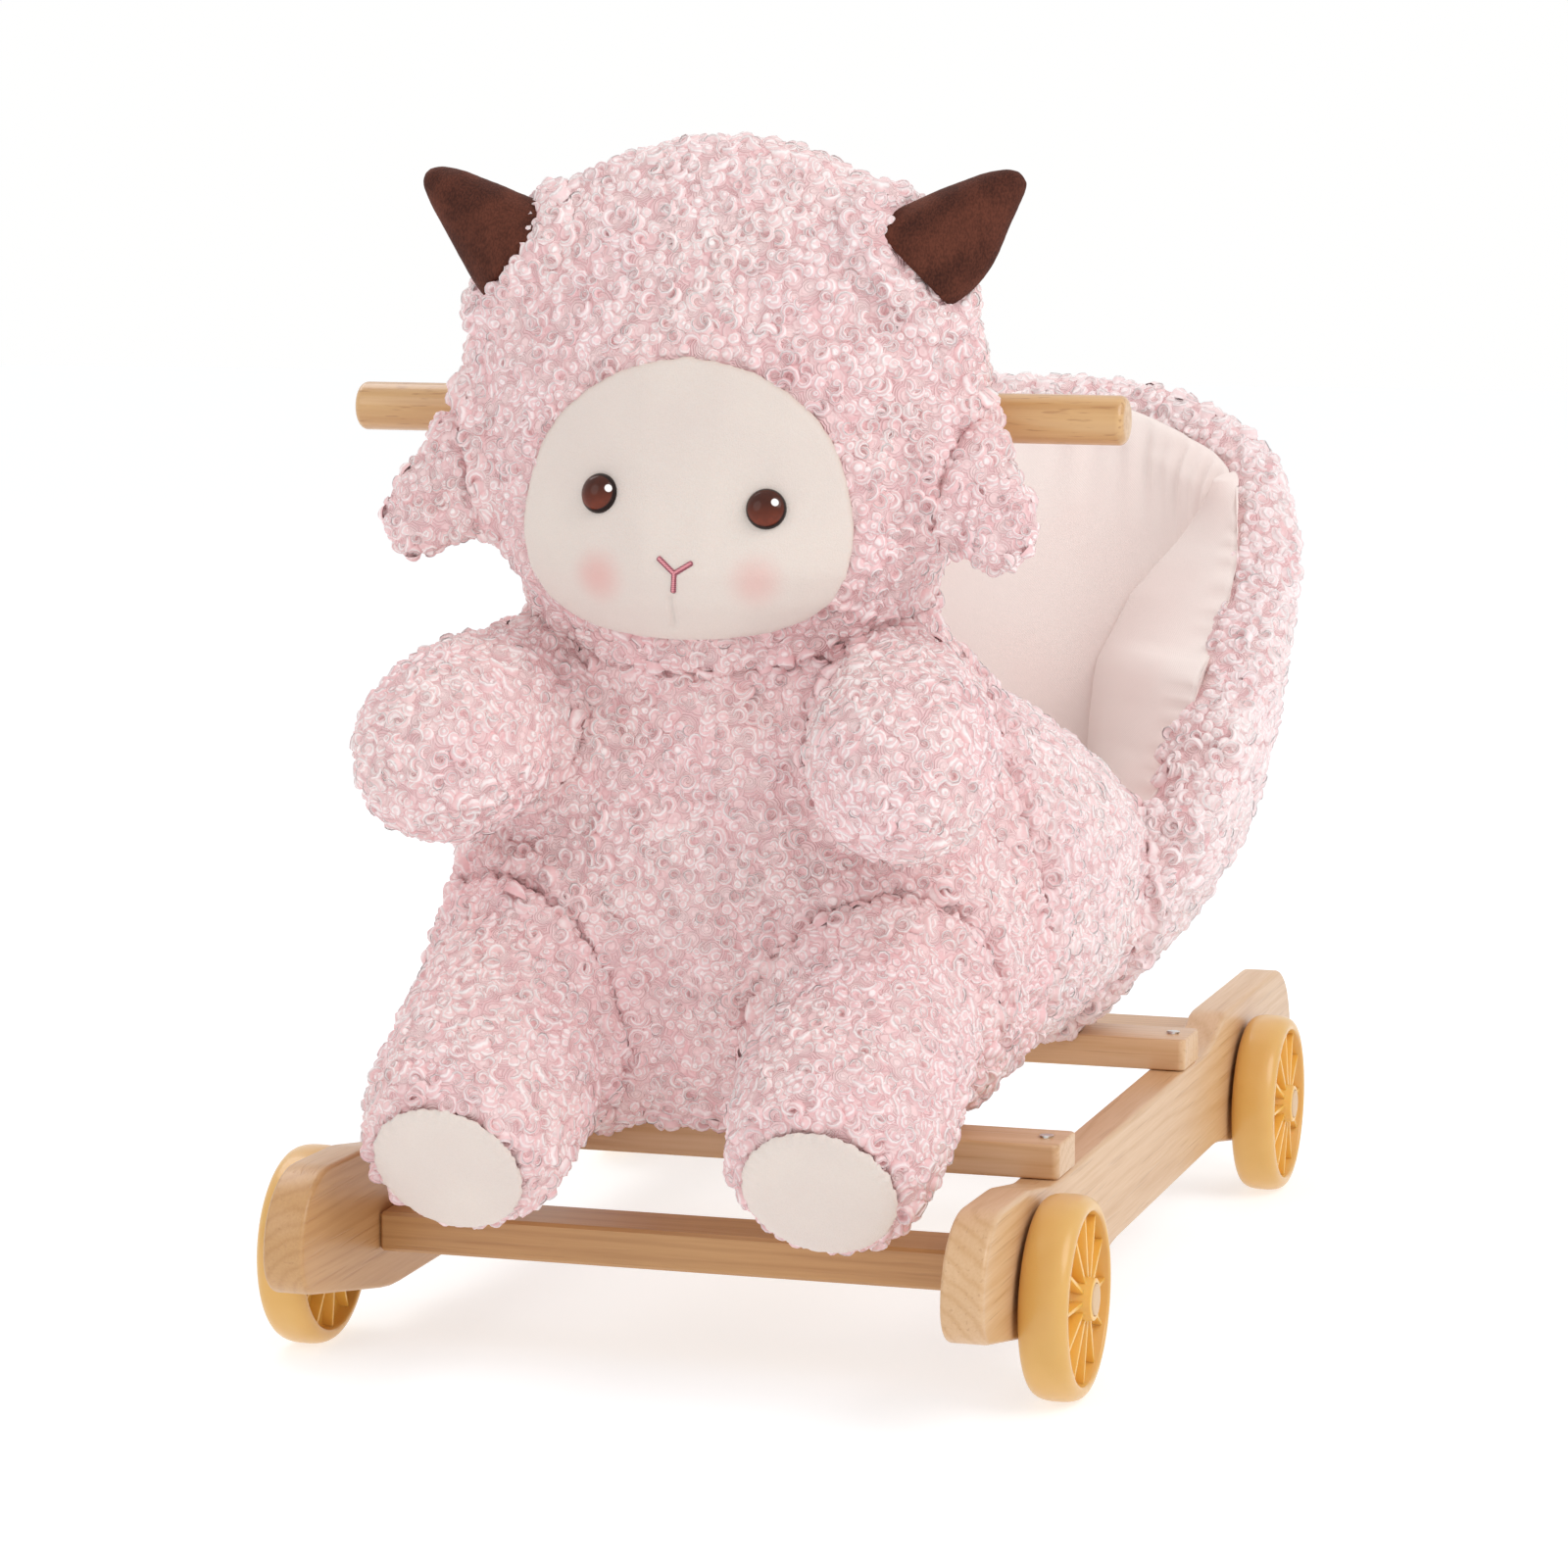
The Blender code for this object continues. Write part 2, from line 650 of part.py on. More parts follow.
def rib_form():
    """A star of thin ribs from the hub into the rim, on both sides of the web."""
    reach = DISH_RADIUS + DISH_TAPER / 2
    pitch = math.tau / RIB_COUNT
    outline = []
    for k in range(RIB_COUNT):
        arm = Vector((math.cos(k * pitch), math.sin(k * pitch)))
        beside = Vector((-arm.y, arm.x)) * RIB_THICKNESS / 2
        valley = (k + 0.5) * pitch
        outline.append(arm * reach - beside)
        outline.append(arm * reach + beside)
        outline.append(Vector((math.cos(valley), math.sin(valley))) * RIB_ROOT_RADIUS)
    height = WHEEL_WIDTH - 2 * RIB_RECESS
    rings = []
    for x in (RIB_RECESS, RIB_RECESS + height):
        rings.append([(x, point.x, point.y) for point in outline])
    return loft(rings)


def hub_bore_form():
    """The room for the bolt in the hub: a bore and a wider socket at its outer end."""
    bore = BOLT_RADIUS + FACE_GAP
    floor = WHEEL_WIDTH + HUB_STANDOUT - HUB_SOCKET_DEPTH
    mouth = WHEEL_WIDTH + HUB_STANDOUT + CUTTER_OVERRUN
    profile = [
        (-CUTTER_OVERRUN, 0),
        (-CUTTER_OVERRUN, bore),
        (floor, bore),
        (floor, HUB_SOCKET_RADIUS),
        (mouth, HUB_SOCKET_RADIUS),
        (mouth, 0),
    ]
    return turned(profile, WHEEL_SIDES // 2)


def bolt_form(grow=0.0):
    """A wheel bolt along X: shank into the board, head in the hub's socket."""
    seat = WHEEL_WIDTH + HUB_STANDOUT - HUB_SOCKET_DEPTH + FACE_GAP
    tip = -WHEEL_STANDOFF - BOLT_ENGAGEMENT - grow
    profile = [
        (tip, 0),
        (tip, BOLT_RADIUS + grow),
        (seat, BOLT_RADIUS + grow),
        (seat, BOLT_HEAD_RADIUS),
        (seat + BOLT_HEAD_HEIGHT, BOLT_HEAD_RADIUS),
        (seat + BOLT_HEAD_HEIGHT, 0),
    ]
    return turned(profile, BOLT_SIDES)


def washer_form():
    """A flat ring between the wheel and its board."""
    inner = BOLT_RADIUS + FACE_GAP
    near = FACE_GAP - WHEEL_STANDOFF
    bm = bmesh.new()
    corners = ((near, inner), (near, WASHER_RADIUS), (-FACE_GAP, WASHER_RADIUS), (-FACE_GAP, inner))
    verts = [bm.verts.new((x, 0, radius)) for x, radius in corners]
    for i, vert in enumerate(verts):
        bm.edges.new((verts[i - 1], vert))
    bmesh.ops.spin(bm, geom=bm.verts[:] + bm.edges[:], cent=(0, 0, 0), axis=(1, 0, 0),
                   angle=math.tau, steps=BOLT_SIDES, use_merge=True)
    return bm


def cap_form():
    """A flat plug with a chamfered edge in the hub's socket."""
    radius = HUB_SOCKET_RADIUS - FACE_GAP
    floor = WHEEL_WIDTH + HUB_STANDOUT - HUB_SOCKET_DEPTH
    near = floor + 2 * FACE_GAP + BOLT_HEAD_HEIGHT
    far = WHEEL_WIDTH + HUB_STANDOUT + CAP_STANDOUT
    profile = [
        (near, 0),
        (near, radius),
        (far - CAP_CHAMFER, radius),
        (far, radius - CAP_CHAMFER),
        (far, 0),
    ]
    return turned(profile, WHEEL_SIDES // 2)


def add_wheels(boards):
    """Four wheels, each with its bolt, washer and hub cap, about its own axle."""
    for end, y in ENDS:
        for side, sign in SIDES:
            turn = Matrix.Rotation(0 if sign > 0 else math.pi, 4, 'Z')
            matrix = at(sign * WHEEL_INNER_X, y, WHEEL_RADIUS) @ turn
            label = end + "_" + side
            wheel = add("wheel_" + label, wheel_form(), HONEY_PLASTIC, matrix)
            combine(wheel, 'UNION', add_cutter("ribs_" + label, rib_form(), matrix))
            cut(wheel, add_cutter("bore_" + label, hub_bore_form(), matrix))
            add("hub_cap_" + label, cap_form(), CAP_PLASTIC, matrix)
            add("axle_bolt_" + label, bolt_form(), STEEL, matrix)
            add("washer_" + label, washer_form(), STEEL, matrix)
            cut(boards[side], add_cutter("bolt_hole_" + label, bolt_form(FACE_GAP), matrix))


def bar_form(grow=0.0):
    """The dowel handlebar along X with rounded ends."""
    radius = BAR_DIAMETER / 2 + grow
    end = BAR_LENGTH / 2
    bend = BAR_END_RADIUS * (1 - math.sqrt(0.5))
    half = [
        (end, 0),
        (end, radius - BAR_END_RADIUS),
        (end - bend, radius - bend),
        (end - BAR_END_RADIUS, radius),
    ]
    mirrored = [(-x, r) for x, r in reversed(half)]
    return turned(half + mirrored, BAR_SIDES)


def back_block_form(grow=0.0):
    """A block whose rear face slopes like the backrest."""
    half = BACK_BLOCK_WIDTH / 2 + grow
    top = BACK_BLOCK_HEIGHT + grow
    slope = math.tan(BACK_LEAN)
    foot = -CUTTER_OVERRUN if grow > 0 else 0.0
    rings = []
    for x in (-half, half):
        front = -BACK_BLOCK_DEPTH - grow
        rear = grow
        rings.append([(x, front, foot), (x, rear + foot * slope, foot),
                      (x, rear + top * slope, top), (x, front, top)])
    return loft(rings)


def add_timber(slats):
    """The wood inside the plush, and the handlebar that it carries."""
    grown_bar = add_cutter("bar_room", bar_form(FACE_GAP), at(0, BAR_Y, BAR_HEIGHT))
    base_place = at(0, BASE_BOARD_Y, PLUSH_FOOT)
    base_size = (BASE_BOARD_WIDTH, BASE_BOARD_LENGTH, BASE_BOARD_THICKNESS)
    base = add("base_board", block(*base_size), PLYWOOD, base_place)
    base_room = add_cutter("base_room", grown_block(*base_size), base_place)
    for end, y in (("front", FRONT_SLAT_Y), ("rear", REAR_SLAT_Y)):
        for side, sign in SIDES:
            place = (sign * BASE_BOARD_WIDTH / 3, y, SLAT_BOTTOM)
            name = "base_screw_" + end + "_" + side
            add_screw(name, BASE_SCREW_LENGTH, place, (0, 0, 1), slats[end], base)

    post_place = at(0, BAR_Y, POST_FOOT)
    post = add("handle_post", block(POST_SIDE, POST_SIDE, POST_HEIGHT, RAIL_EDGE), PINE, post_place)
    cut(post, grown_bar)
    post_room = add_cutter("post_room", grown_block(POST_SIDE, POST_SIDE, POST_HEIGHT), post_place)
    add("handlebar", bar_form(), PINE, at(0, BAR_Y, BAR_HEIGHT))

    block_place = at(0, BACK_BOARD_Y, POST_FOOT)
    add("back_block", back_block_form(), PINE, block_place)
    block_room = add_cutter("block_room", back_block_form(FACE_GAP), block_place)
    lean = Matrix.Rotation(-BACK_LEAN, 4, 'X')
    thickness = BACK_BOARD_THICKNESS
    board_place = block_place @ at(0, FACE_GAP / math.cos(BACK_LEAN), 0) @ lean
    board_place = board_place @ at(0, thickness / 2, thickness * math.tan(BACK_LEAN))
    size = (BACK_BOARD_WIDTH, thickness, BACK_BOARD_LENGTH)
    add("back_board", block(*size, RAIL_EDGE), PLYWOOD, board_place)
    board_room = add_cutter("board_room", grown_block(*size), board_place)
    return {"bar": grown_bar, "base": base_room, "post": post_room, "block": block_room,
            "board": board_room}


def stacked(rows, length, half_width, front, back, sides, grow=0.0):
    """Oval rings stacked along Z; rows are height, width, front and back, as shares."""
    rings = []
    for height, wide, fore, aft in eased(rows, 2):
        ring = []
        for k in range(sides):
            angle = math.tau * k / sides
            depth = aft * back if math.sin(angle) > 0 else fore * front
            x = (wide * half_width + grow) * math.cos(angle)
            y = (depth + grow) * math.sin(angle)
            ring.append((x, y, height * length + grow * (2 * height - 1)))
        rings.append(ring)
    return skin(rings)


def torso_form(grow=0.0):
    """The upright front of the body."""
    return stacked(TORSO_ROWS_SHARES, TORSO_HEIGHT, TORSO_HALF_WIDTH, TORSO_FRONT, TORSO_BACK,
                   TORSO_SIDES, grow)


def head_form(grow=0.0):
    """The round head."""
    return stacked(HEAD_ROWS_SHARES, HEAD_HEIGHT, HEAD_HALF_WIDTH, HEAD_FRONT, HEAD_BACK,
                   HEAD_SIDES, grow)


def saddle_form(grow=0.0):
    """The body behind the torso: rings along Y, flat where they lie on the slats."""
    foot = PLUSH_FOOT - grow
    rings = []
    for along, wide, top in eased(SADDLE_ROWS_SHARES, 2):
        y = SADDLE_FRONT_Y + along * SADDLE_LENGTH + grow * (2 * along - 1)
        above = top * SADDLE_HEIGHT - SADDLE_BELLY + grow
        ring = []
        for k in range(SADDLE_SIDES):
            angle = math.tau * k / SADDLE_SIDES
            cosine, sine = math.cos(angle), math.sin(angle)
            power = 2 / (SADDLE_BELLY_POWER if sine < 0 else SADDLE_BACK_POWER)
            x = math.copysign(abs(cosine) ** power, cosine) * (wide * SADDLE_HALF_WIDTH + grow)
            rise = math.copysign(abs(sine) ** power, sine)
            reach = above if sine > 0 else SADDLE_BELLY + SADDLE_SAG + grow
            ring.append((x, y, max(foot, PLUSH_FOOT + SADDLE_BELLY + rise * reach)))
        rings.append(ring)
    return skin(rings)


def limb_form(rows, root, tip, half_width, half_depth, side, sides):
    """A stuffed limb along local Z; the fourth share bends it outwards."""
    length = (Vector(tip) - Vector(root)).length
    rings = []
    for height, wide, deep, bend in rows:
        ring = []
        for k in range(sides):
            angle = math.tau * k / sides
            x = wide * half_width * math.cos(angle) + side * bend * half_width
            y = deep * half_depth * math.sin(angle)
            ring.append((x, y, height * length))
        rings.append(ring)
    return loft(rings)


def shell_form(grow=0.0):
    """The padded wall: sections lofted from one wing round the back to the other."""
    spread = np.array(SHELL_SPREAD_SHARES)
    rim = np.array(SHELL_RIM_SHARES)
    stations = SHELL_STATIONS
    rings = []
    for station in range(-1, stations + 1):
        clamped = min(max(station, 0), stations - 1)
        angle = SHELL_END_ANGLE * (2 * clamped / (stations - 1) - 1)
        shrink = 1.0 if station == clamped else 0.55
        sideways = math.copysign(abs(math.sin(angle)) ** SHELL_SQUARENESS, angle)
        rearward = abs(math.cos(angle)) ** SHELL_SQUARENESS
        rearward = math.copysign(rearward, math.cos(angle))
        turn = abs(angle) / (math.pi / 2)
        top = np.interp(turn, rim[:, 0], rim[:, 1]) * SHELL_HEIGHT + grow
        ring = []
        for height, side in SHELL_SECTION_SHARES:
            level = (0.5 + (height - 0.5) * shrink) * top
            half_width = np.interp(level / SHELL_HEIGHT, spread[:, 0], spread[:, 1])
            reach = np.interp(level / SHELL_HEIGHT, spread[:, 0], spread[:, 2])
            inset = SHELL_WALL / 2 * (1 + side * shrink) - math.copysign(grow, -side)
            x = (half_width * SHELL_HALF_WIDTH - inset) * sideways
            y = (reach * SHELL_REACH - inset) * rearward
            if station != clamped:
                y -= SHELL_WALL / 5 + grow
            ring.append((x, y, level - (grow if height == 0 else 0)))
        rings.append(ring)
    return skin(rings)


def pillow(corners, puff, sides, grow=0.0):
    """A pad sewn from two panels: a smooth seam through the corners, domed on both faces."""
    points = np.array(corners, dtype=float)
    closed = np.vstack([points[-1], points, points[0], points[1]])
    seam = np.array(eased(closed, sides))[sides:-2 * sides]
    centre = seam.mean(axis=0)
    normal = np.linalg.svd(seam - centre)[2][2]
    bm = bmesh.new()
    outward = seam - centre
    length = np.linalg.norm(outward, axis=1)[:, None]
    edge = centre + outward * (1 + grow / length)
    front_loops, back_loops = [], []
    for share in (0.86, 0.5):
        rise = (puff + grow) * math.sqrt(1 - share ** 2)
        inner = centre + (edge - centre) * share
        front_loops.append([bm.verts.new(point) for point in inner + normal * rise])
        back_loops.append([bm.verts.new(point) for point in inner - normal * rise])
    seam_loop = [bm.verts.new(point) for point in edge]
    loops = back_loops[::-1] + [seam_loop] + front_loops
    for lower, upper in zip(loops, loops[1:]):
        for i, corner in enumerate(lower):
            bm.faces.new((lower[i - 1], corner, upper[i], upper[i - 1]))
    for loop, rise in ((loops[0], -puff - grow), (loops[-1], puff + grow)):
        pole = bm.verts.new(centre + normal * rise)
        for i, corner in enumerate(loop):
            bm.faces.new((loop[i - 1], corner, pole))
    return bm


def face_prism():
    """An egg-shaped bar along Y that trims the face panel's edge."""
    half = eased(FACE_EDGE_SHARES, 2)
    outline = []
    for height, wide in half:
        outline.append((wide * FACE_HALF_WIDTH, height * FACE_HEIGHT))
    for height, wide in half[-2:0:-1]:
        outline.append((-wide * FACE_HALF_WIDTH, height * FACE_HEIGHT))
    rings = []
    for y in (-HEAD_FRONT - CUTTER_OVERRUN, -HEAD_FRONT / 4):
        rings.append([(x, y, z) for x, z in outline])
    return loft(rings)


def head_surface_y(x, z):
    """Where the head's front lies, from the middle of the head's foot."""
    rows = np.array(eased(HEAD_ROWS_SHARES, 2))
    level = z / HEAD_HEIGHT
    wide = np.interp(level, rows[:, 0], rows[:, 1]) * HEAD_HALF_WIDTH
    front = np.interp(level, rows[:, 0], rows[:, 2]) * HEAD_FRONT
    return -front * math.sqrt(1 - (x / wide) ** 2)


def add_body(rooms):
    """Torso, saddle and head, cut where they meet and hollowed for the timber."""
    torso_place = at(*TORSO_PLACE)
    head_place = at(*HEAD_PLACE)
    torso = add("torso", torso_form(), PINK_PLUSH, torso_place)
    torso_room = add_cutter("torso_room", torso_form(FACE_GAP), torso_place)
    head = add("head", head_form(), PINK_PLUSH, head_place)
    head_room = add_cutter("head_room", head_form(FACE_GAP), head_place)
    saddle = add("saddle", saddle_form(), PINK_PLUSH)
    saddle_room = add_cutter("saddle_room", saddle_form(FACE_GAP))
    cut(torso, head_room, rooms["base"], rooms["post"])
    cut(head, rooms["post"], rooms["bar"])
    cut(saddle, torso_room, rooms["base"])

    shell_place = at(*SHELL_PLACE)
    shell = add("seat_shell", shell_form(), PINK_PLUSH, shell_place)
    shell_room = add_cutter("shell_room", shell_form(FACE_GAP), shell_place)
    cut(shell, saddle_room, rooms["board"], rooms["block"], rooms["base"])
    add_linings(shell_place, shell_room, saddle_room)
    add_face(head_place, head_room)
    return torso_room, saddle_room, head_room


def shell_corners(shares, side):
    """Corners of a pad in the seat shell's own place, mirrored for the right side."""
    corners = []
    for across, back, up in shares:
        corners.append((side * across * SHELL_HALF_WIDTH, back * SHELL_REACH, up * SHELL_HEIGHT))
    return corners


def add_linings(shell_place, shell_room, saddle_room):
    """The lining's pads: one on the back and one on each wing."""
    corners = shell_corners(BACK_LINING_SHARES, 1)[:-1]
    corners += shell_corners(BACK_LINING_SHARES, -1)[-3::-1]
    back = add("back_lining", pillow(corners, BACK_LINING_PUFF, 2), PALE_SATIN, shell_place)
    back_room_form = pillow(corners, BACK_LINING_PUFF, 2, FACE_GAP)
    back_room = add_cutter("back_lining_room", back_room_form, shell_place)
    cut(back, shell_room, saddle_room)
    for side, sign in SIDES:
        form = pillow(shell_corners(WING_LINING_SHARES, sign), WING_LINING_PUFF, 2)
        wing = add("wing_lining_" + side, form, PALE_SATIN, shell_place)
        cut(wing, shell_room, saddle_room, back_room)


def add_face(head_place, head_room):
    """The face panel on the head's front, and the eyes on the panel."""
    panel = add("face_panel", head_form(FACE_GAP + FACE_THICKNESS), CREAM_VELOUR, head_place)
    edge = add_cutter("face_edge", face_prism(), head_place @ at(0, 0, FACE_LIFT))
    combine(panel, 'INTERSECT', edge)
    cut(panel, head_room)
    for side, sign in SIDES:
        surface = Vector((EYE_X, head_surface_y(EYE_X, EYE_LIFT), EYE_LIFT))
        beside = Vector((EYE_X + EYE_RADIUS, 0, EYE_LIFT))
        beside.y = head_surface_y(beside.x, beside.z)
        above = Vector((EYE_X, 0, EYE_LIFT + EYE_RADIUS))
        above.y = head_surface_y(above.x, above.z)
        outward = (beside - surface).cross(above - surface).normalized()
        lift = 2 * FACE_GAP + FACE_THICKNESS
        root = surface + outward * lift
        tip = root + outward
        profile = [(0, 0), (0, EYE_RADIUS)]
        for share in (0.90, 0.62, 0.30):
            profile.append((EYE_BULGE * math.sqrt(1 - share ** 2), EYE_RADIUS * share))
        profile.append((EYE_BULGE, 0))
        bm = turned(profile, EYE_SIDES)
        bmesh.ops.rotate(bm, verts=bm.verts, cent=(0, 0, 0),
                         matrix=Matrix.Rotation(-math.pi / 2, 3, 'Y'))
        add("eye_" + side, bm, EYE_BROWN, aimed(HEAD_PLACE, root, tip, sign))


def add_limbs(torso_room, saddle_room, head_room):
    """Horns, ears, arms, legs and soles in pairs."""
    for side, sign in SIDES:
        horn = limb_form(HORN_ROWS_SHARES, HORN_ROOT, HORN_TIP, HORN_HALF_WIDTH, HORN_HALF_DEPTH,
                         sign, SMALL_SIDES)
        horn = add("horn_" + side, horn, BROWN_VELOUR, aimed(HEAD_PLACE, HORN_ROOT, HORN_TIP, sign))
        cut(horn, head_room)

        ear = limb_form(EAR_ROWS_SHARES, EAR_ROOT, EAR_TIP, EAR_HALF_WIDTH, EAR_HALF_DEPTH,
                        sign, SMALL_SIDES)
        ear = add("ear_" + side, ear, PINK_PLUSH, aimed(HEAD_PLACE, EAR_ROOT, EAR_TIP, sign))
        cut(ear, head_room)

        arm = limb_form(eased(ARM_ROWS_SHARES, 2), ARM_ROOT, ARM_TIP, ARM_HALF_WIDTH,
                        ARM_HALF_WIDTH, sign, LIMB_SIDES)
        arm = add("arm_" + side, arm, PINK_PLUSH, aimed(TORSO_PLACE, ARM_ROOT, ARM_TIP, sign))
        cut(arm, torso_room, head_room, saddle_room)

        leg_place = aimed(TORSO_PLACE, LEG_ROOT, LEG_TIP, sign)
        leg = limb_form(eased(LEG_ROWS_SHARES, 2), LEG_ROOT, LEG_TIP, LEG_HALF_WIDTH,
                        LEG_HALF_WIDTH, sign, LIMB_SIDES)
        leg = add("leg_" + side, leg, PINK_PLUSH, leg_place)
        cut(leg, torso_room, saddle_room)
        length = (Vector(LEG_TIP) - Vector(LEG_ROOT)).length
        add("sole_" + side, sole_form(), CREAM_VELOUR, leg_place @ at(0, 0, length + FACE_GAP))


def sole_form():
    """A low dome on the leg's flat end."""
    radius = LEG_HALF_WIDTH * SOLE_RADIUS_SHARE
    rings = []
    for share, rise in ((1.0, 0.0), (1.0, 0.35), (0.85, 0.8), (0.4, 1.0)):
        ring = []
        for k in range(LIMB_SIDES):
            angle = math.tau * k / LIMB_SIDES
            ring.append((math.cos(angle) * radius * share, math.sin(angle) * radius * share,
                         rise * SOLE_THICKNESS))
        rings.append(ring)
    return loft(rings)


def main():
    """Build the whole ride-on."""
    clear_scene()
    boards = add_boards()
    add_rails(boards)
    slats = add_slats(boards)
    add_wheels(boards)
    rooms = add_timber(slats)
    torso_room, saddle_room, head_room = add_body(rooms)
    add_limbs(torso_room, saddle_room, head_room)


main()
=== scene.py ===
# %% [markdown]
# # A plush lamb to ride on
#
# The real toy is a stuffed lamb on a pine base with four plastic wheels. Its coat is a knitted
# plush whose pile curls into small locks, so most of this lesson is about making thousands of
# locks from one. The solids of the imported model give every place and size, and each step below
# dresses some of them.

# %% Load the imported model
import math
from functools import partial, partialmethod

import bpy
import numpy as np
from mathutils import Matrix, Vector
from mathutils.bvhtree import BVHTree
from mathutils.kdtree import KDTree


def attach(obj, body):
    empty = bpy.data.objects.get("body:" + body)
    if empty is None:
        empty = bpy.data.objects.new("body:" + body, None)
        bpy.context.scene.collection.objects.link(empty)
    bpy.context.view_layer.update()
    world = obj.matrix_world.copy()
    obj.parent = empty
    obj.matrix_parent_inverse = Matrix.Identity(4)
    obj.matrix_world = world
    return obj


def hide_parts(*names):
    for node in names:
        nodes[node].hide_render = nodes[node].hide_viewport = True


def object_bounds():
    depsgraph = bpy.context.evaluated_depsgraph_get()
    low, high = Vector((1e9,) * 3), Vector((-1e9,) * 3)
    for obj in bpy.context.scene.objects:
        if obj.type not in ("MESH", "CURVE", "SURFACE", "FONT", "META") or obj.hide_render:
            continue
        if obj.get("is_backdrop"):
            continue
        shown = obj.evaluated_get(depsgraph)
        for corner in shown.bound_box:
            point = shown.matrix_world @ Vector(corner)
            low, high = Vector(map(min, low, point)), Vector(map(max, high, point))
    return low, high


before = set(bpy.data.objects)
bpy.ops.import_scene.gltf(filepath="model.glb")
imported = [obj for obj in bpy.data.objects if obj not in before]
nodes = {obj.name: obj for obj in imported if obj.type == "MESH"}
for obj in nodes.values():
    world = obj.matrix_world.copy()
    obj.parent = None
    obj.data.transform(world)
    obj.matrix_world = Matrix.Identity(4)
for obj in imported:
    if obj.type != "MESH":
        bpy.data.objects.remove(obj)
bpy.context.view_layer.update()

scene = bpy.context.scene
scene.view_settings.view_transform = 'Standard'

# %% [markdown]
# ## Camera, floor and light
#
# The camera stands where the photograph's lens stood: to the lamb's left and a little above it,
# far enough away for a mild perspective. The floor and the world are white to the camera, to
# gloss and to glass, and only the lamps and a weaker sky light the toy, so that colours stay as
# they are written.

# %% The camera
bpy.ops.object.camera_add(location=(0.6777, -2.3029, 0.5661),
                          rotation=(math.radians(82.05), 0, math.radians(16.95)))
camera = bpy.context.object
camera.name = "camera"
camera.data.sensor_width = 36
camera.data.lens = 115.3
scene.camera = camera

# %% Lamps
def lamp(name, place, target, size, watts):
    """A round soft lamp at a place, turned to a target."""
    bpy.ops.object.light_add(type='AREA', location=place)
    light = bpy.context.object
    light.name = name
    light.data.shape = 'DISK'
    light.data.size = size
    light.data.energy = watts
    light.rotation_euler = (Vector(target) - Vector(place)).to_track_quat('-Z', 'Y').to_euler()

middle = (0, 0, 0.28)
lamp("key_lamp", (1.95, -0.8, 2.0), middle, 1.9, 28)
lamp("fill_lamp", (-1.4, -2.3, 1.6), middle, 1.8, 10)
lamp("back_lamp", (-1.35, 0.75, 2.15), middle, 1.5, 15)

# %% One way to add a node to any tree
def feed(socket, value):
    """Link an output to a socket, or set the socket's own value."""
    value = getattr(value, "socket", value)
    if isinstance(value, bpy.types.NodeSocket):
        socket.id_data.links.new(value, socket)
    else:
        socket.default_value = value


def add_node(tree, kind, inputs=(), out=0, **settings):
    """Add a node with its settings, feed its inputs and return one of its outputs."""
    node = tree.nodes.new(kind)
    for key, value in settings.items():
        setattr(node, key, value)
    for key, value in dict(inputs).items():
        feed(node.inputs[key], value)
    return node.outputs[out] if node.outputs else None

# %% A world that is white to the eye and softer as a light
world = bpy.data.worlds.new("studio")
scene.world = world
world.use_nodes = True
sky = world.node_tree
rays = add_node(sky, "ShaderNodeLightPath").node.outputs
seen = rays["Is Camera Ray"]
for ray in ("Is Glossy Ray", "Is Transmission Ray"):
    seen = add_node(sky, "ShaderNodeMath", {0: seen, 1: rays[ray]}, operation='MAXIMUM')
strength = add_node(sky, "ShaderNodeMapRange", {"Value": seen, "To Min": 0.62, "To Max": 1.0})
backdrop = sky.nodes["Background"].inputs
feed(backdrop["Color"], (1.0, 1.0, 0.995, 1))
feed(backdrop["Strength"], strength)

# %% [markdown]
# ## Writing materials as sums
#
# A material is a graph of nodes. Written out link by link it is hard to read, so a small class
# wraps a socket and lets it take part in sums, and another gathers the ways to build a finish.

# %% A socket that takes part in sums
class Wire:
    """An output socket of a finish; each operation on it adds a Math node."""

    def __init__(self, finish, socket):
        self.finish = finish
        self.socket = socket

    def math(self, operation, *others):
        return self.finish.node("Math", enumerate((self, *others)), operation=operation)

    def __rsub__(self, other):
        return (self * -1).math('ADD', other)

    __add__ = __radd__ = partialmethod(math, 'ADD')
    __sub__ = partialmethod(math, 'SUBTRACT')
    __mul__ = __rmul__ = partialmethod(math, 'MULTIPLY')
    __pow__ = partialmethod(math, 'POWER')
    sine = partialmethod(math, 'SINE')

    def within(self, low, high):
        """0 below low, 1 above high, and a smooth ramp between them."""
        sockets = {"Value": self, "From Min": low, "From Max": high}
        return self.finish.node("MapRange", sockets, interpolation_type='SMOOTHSTEP')

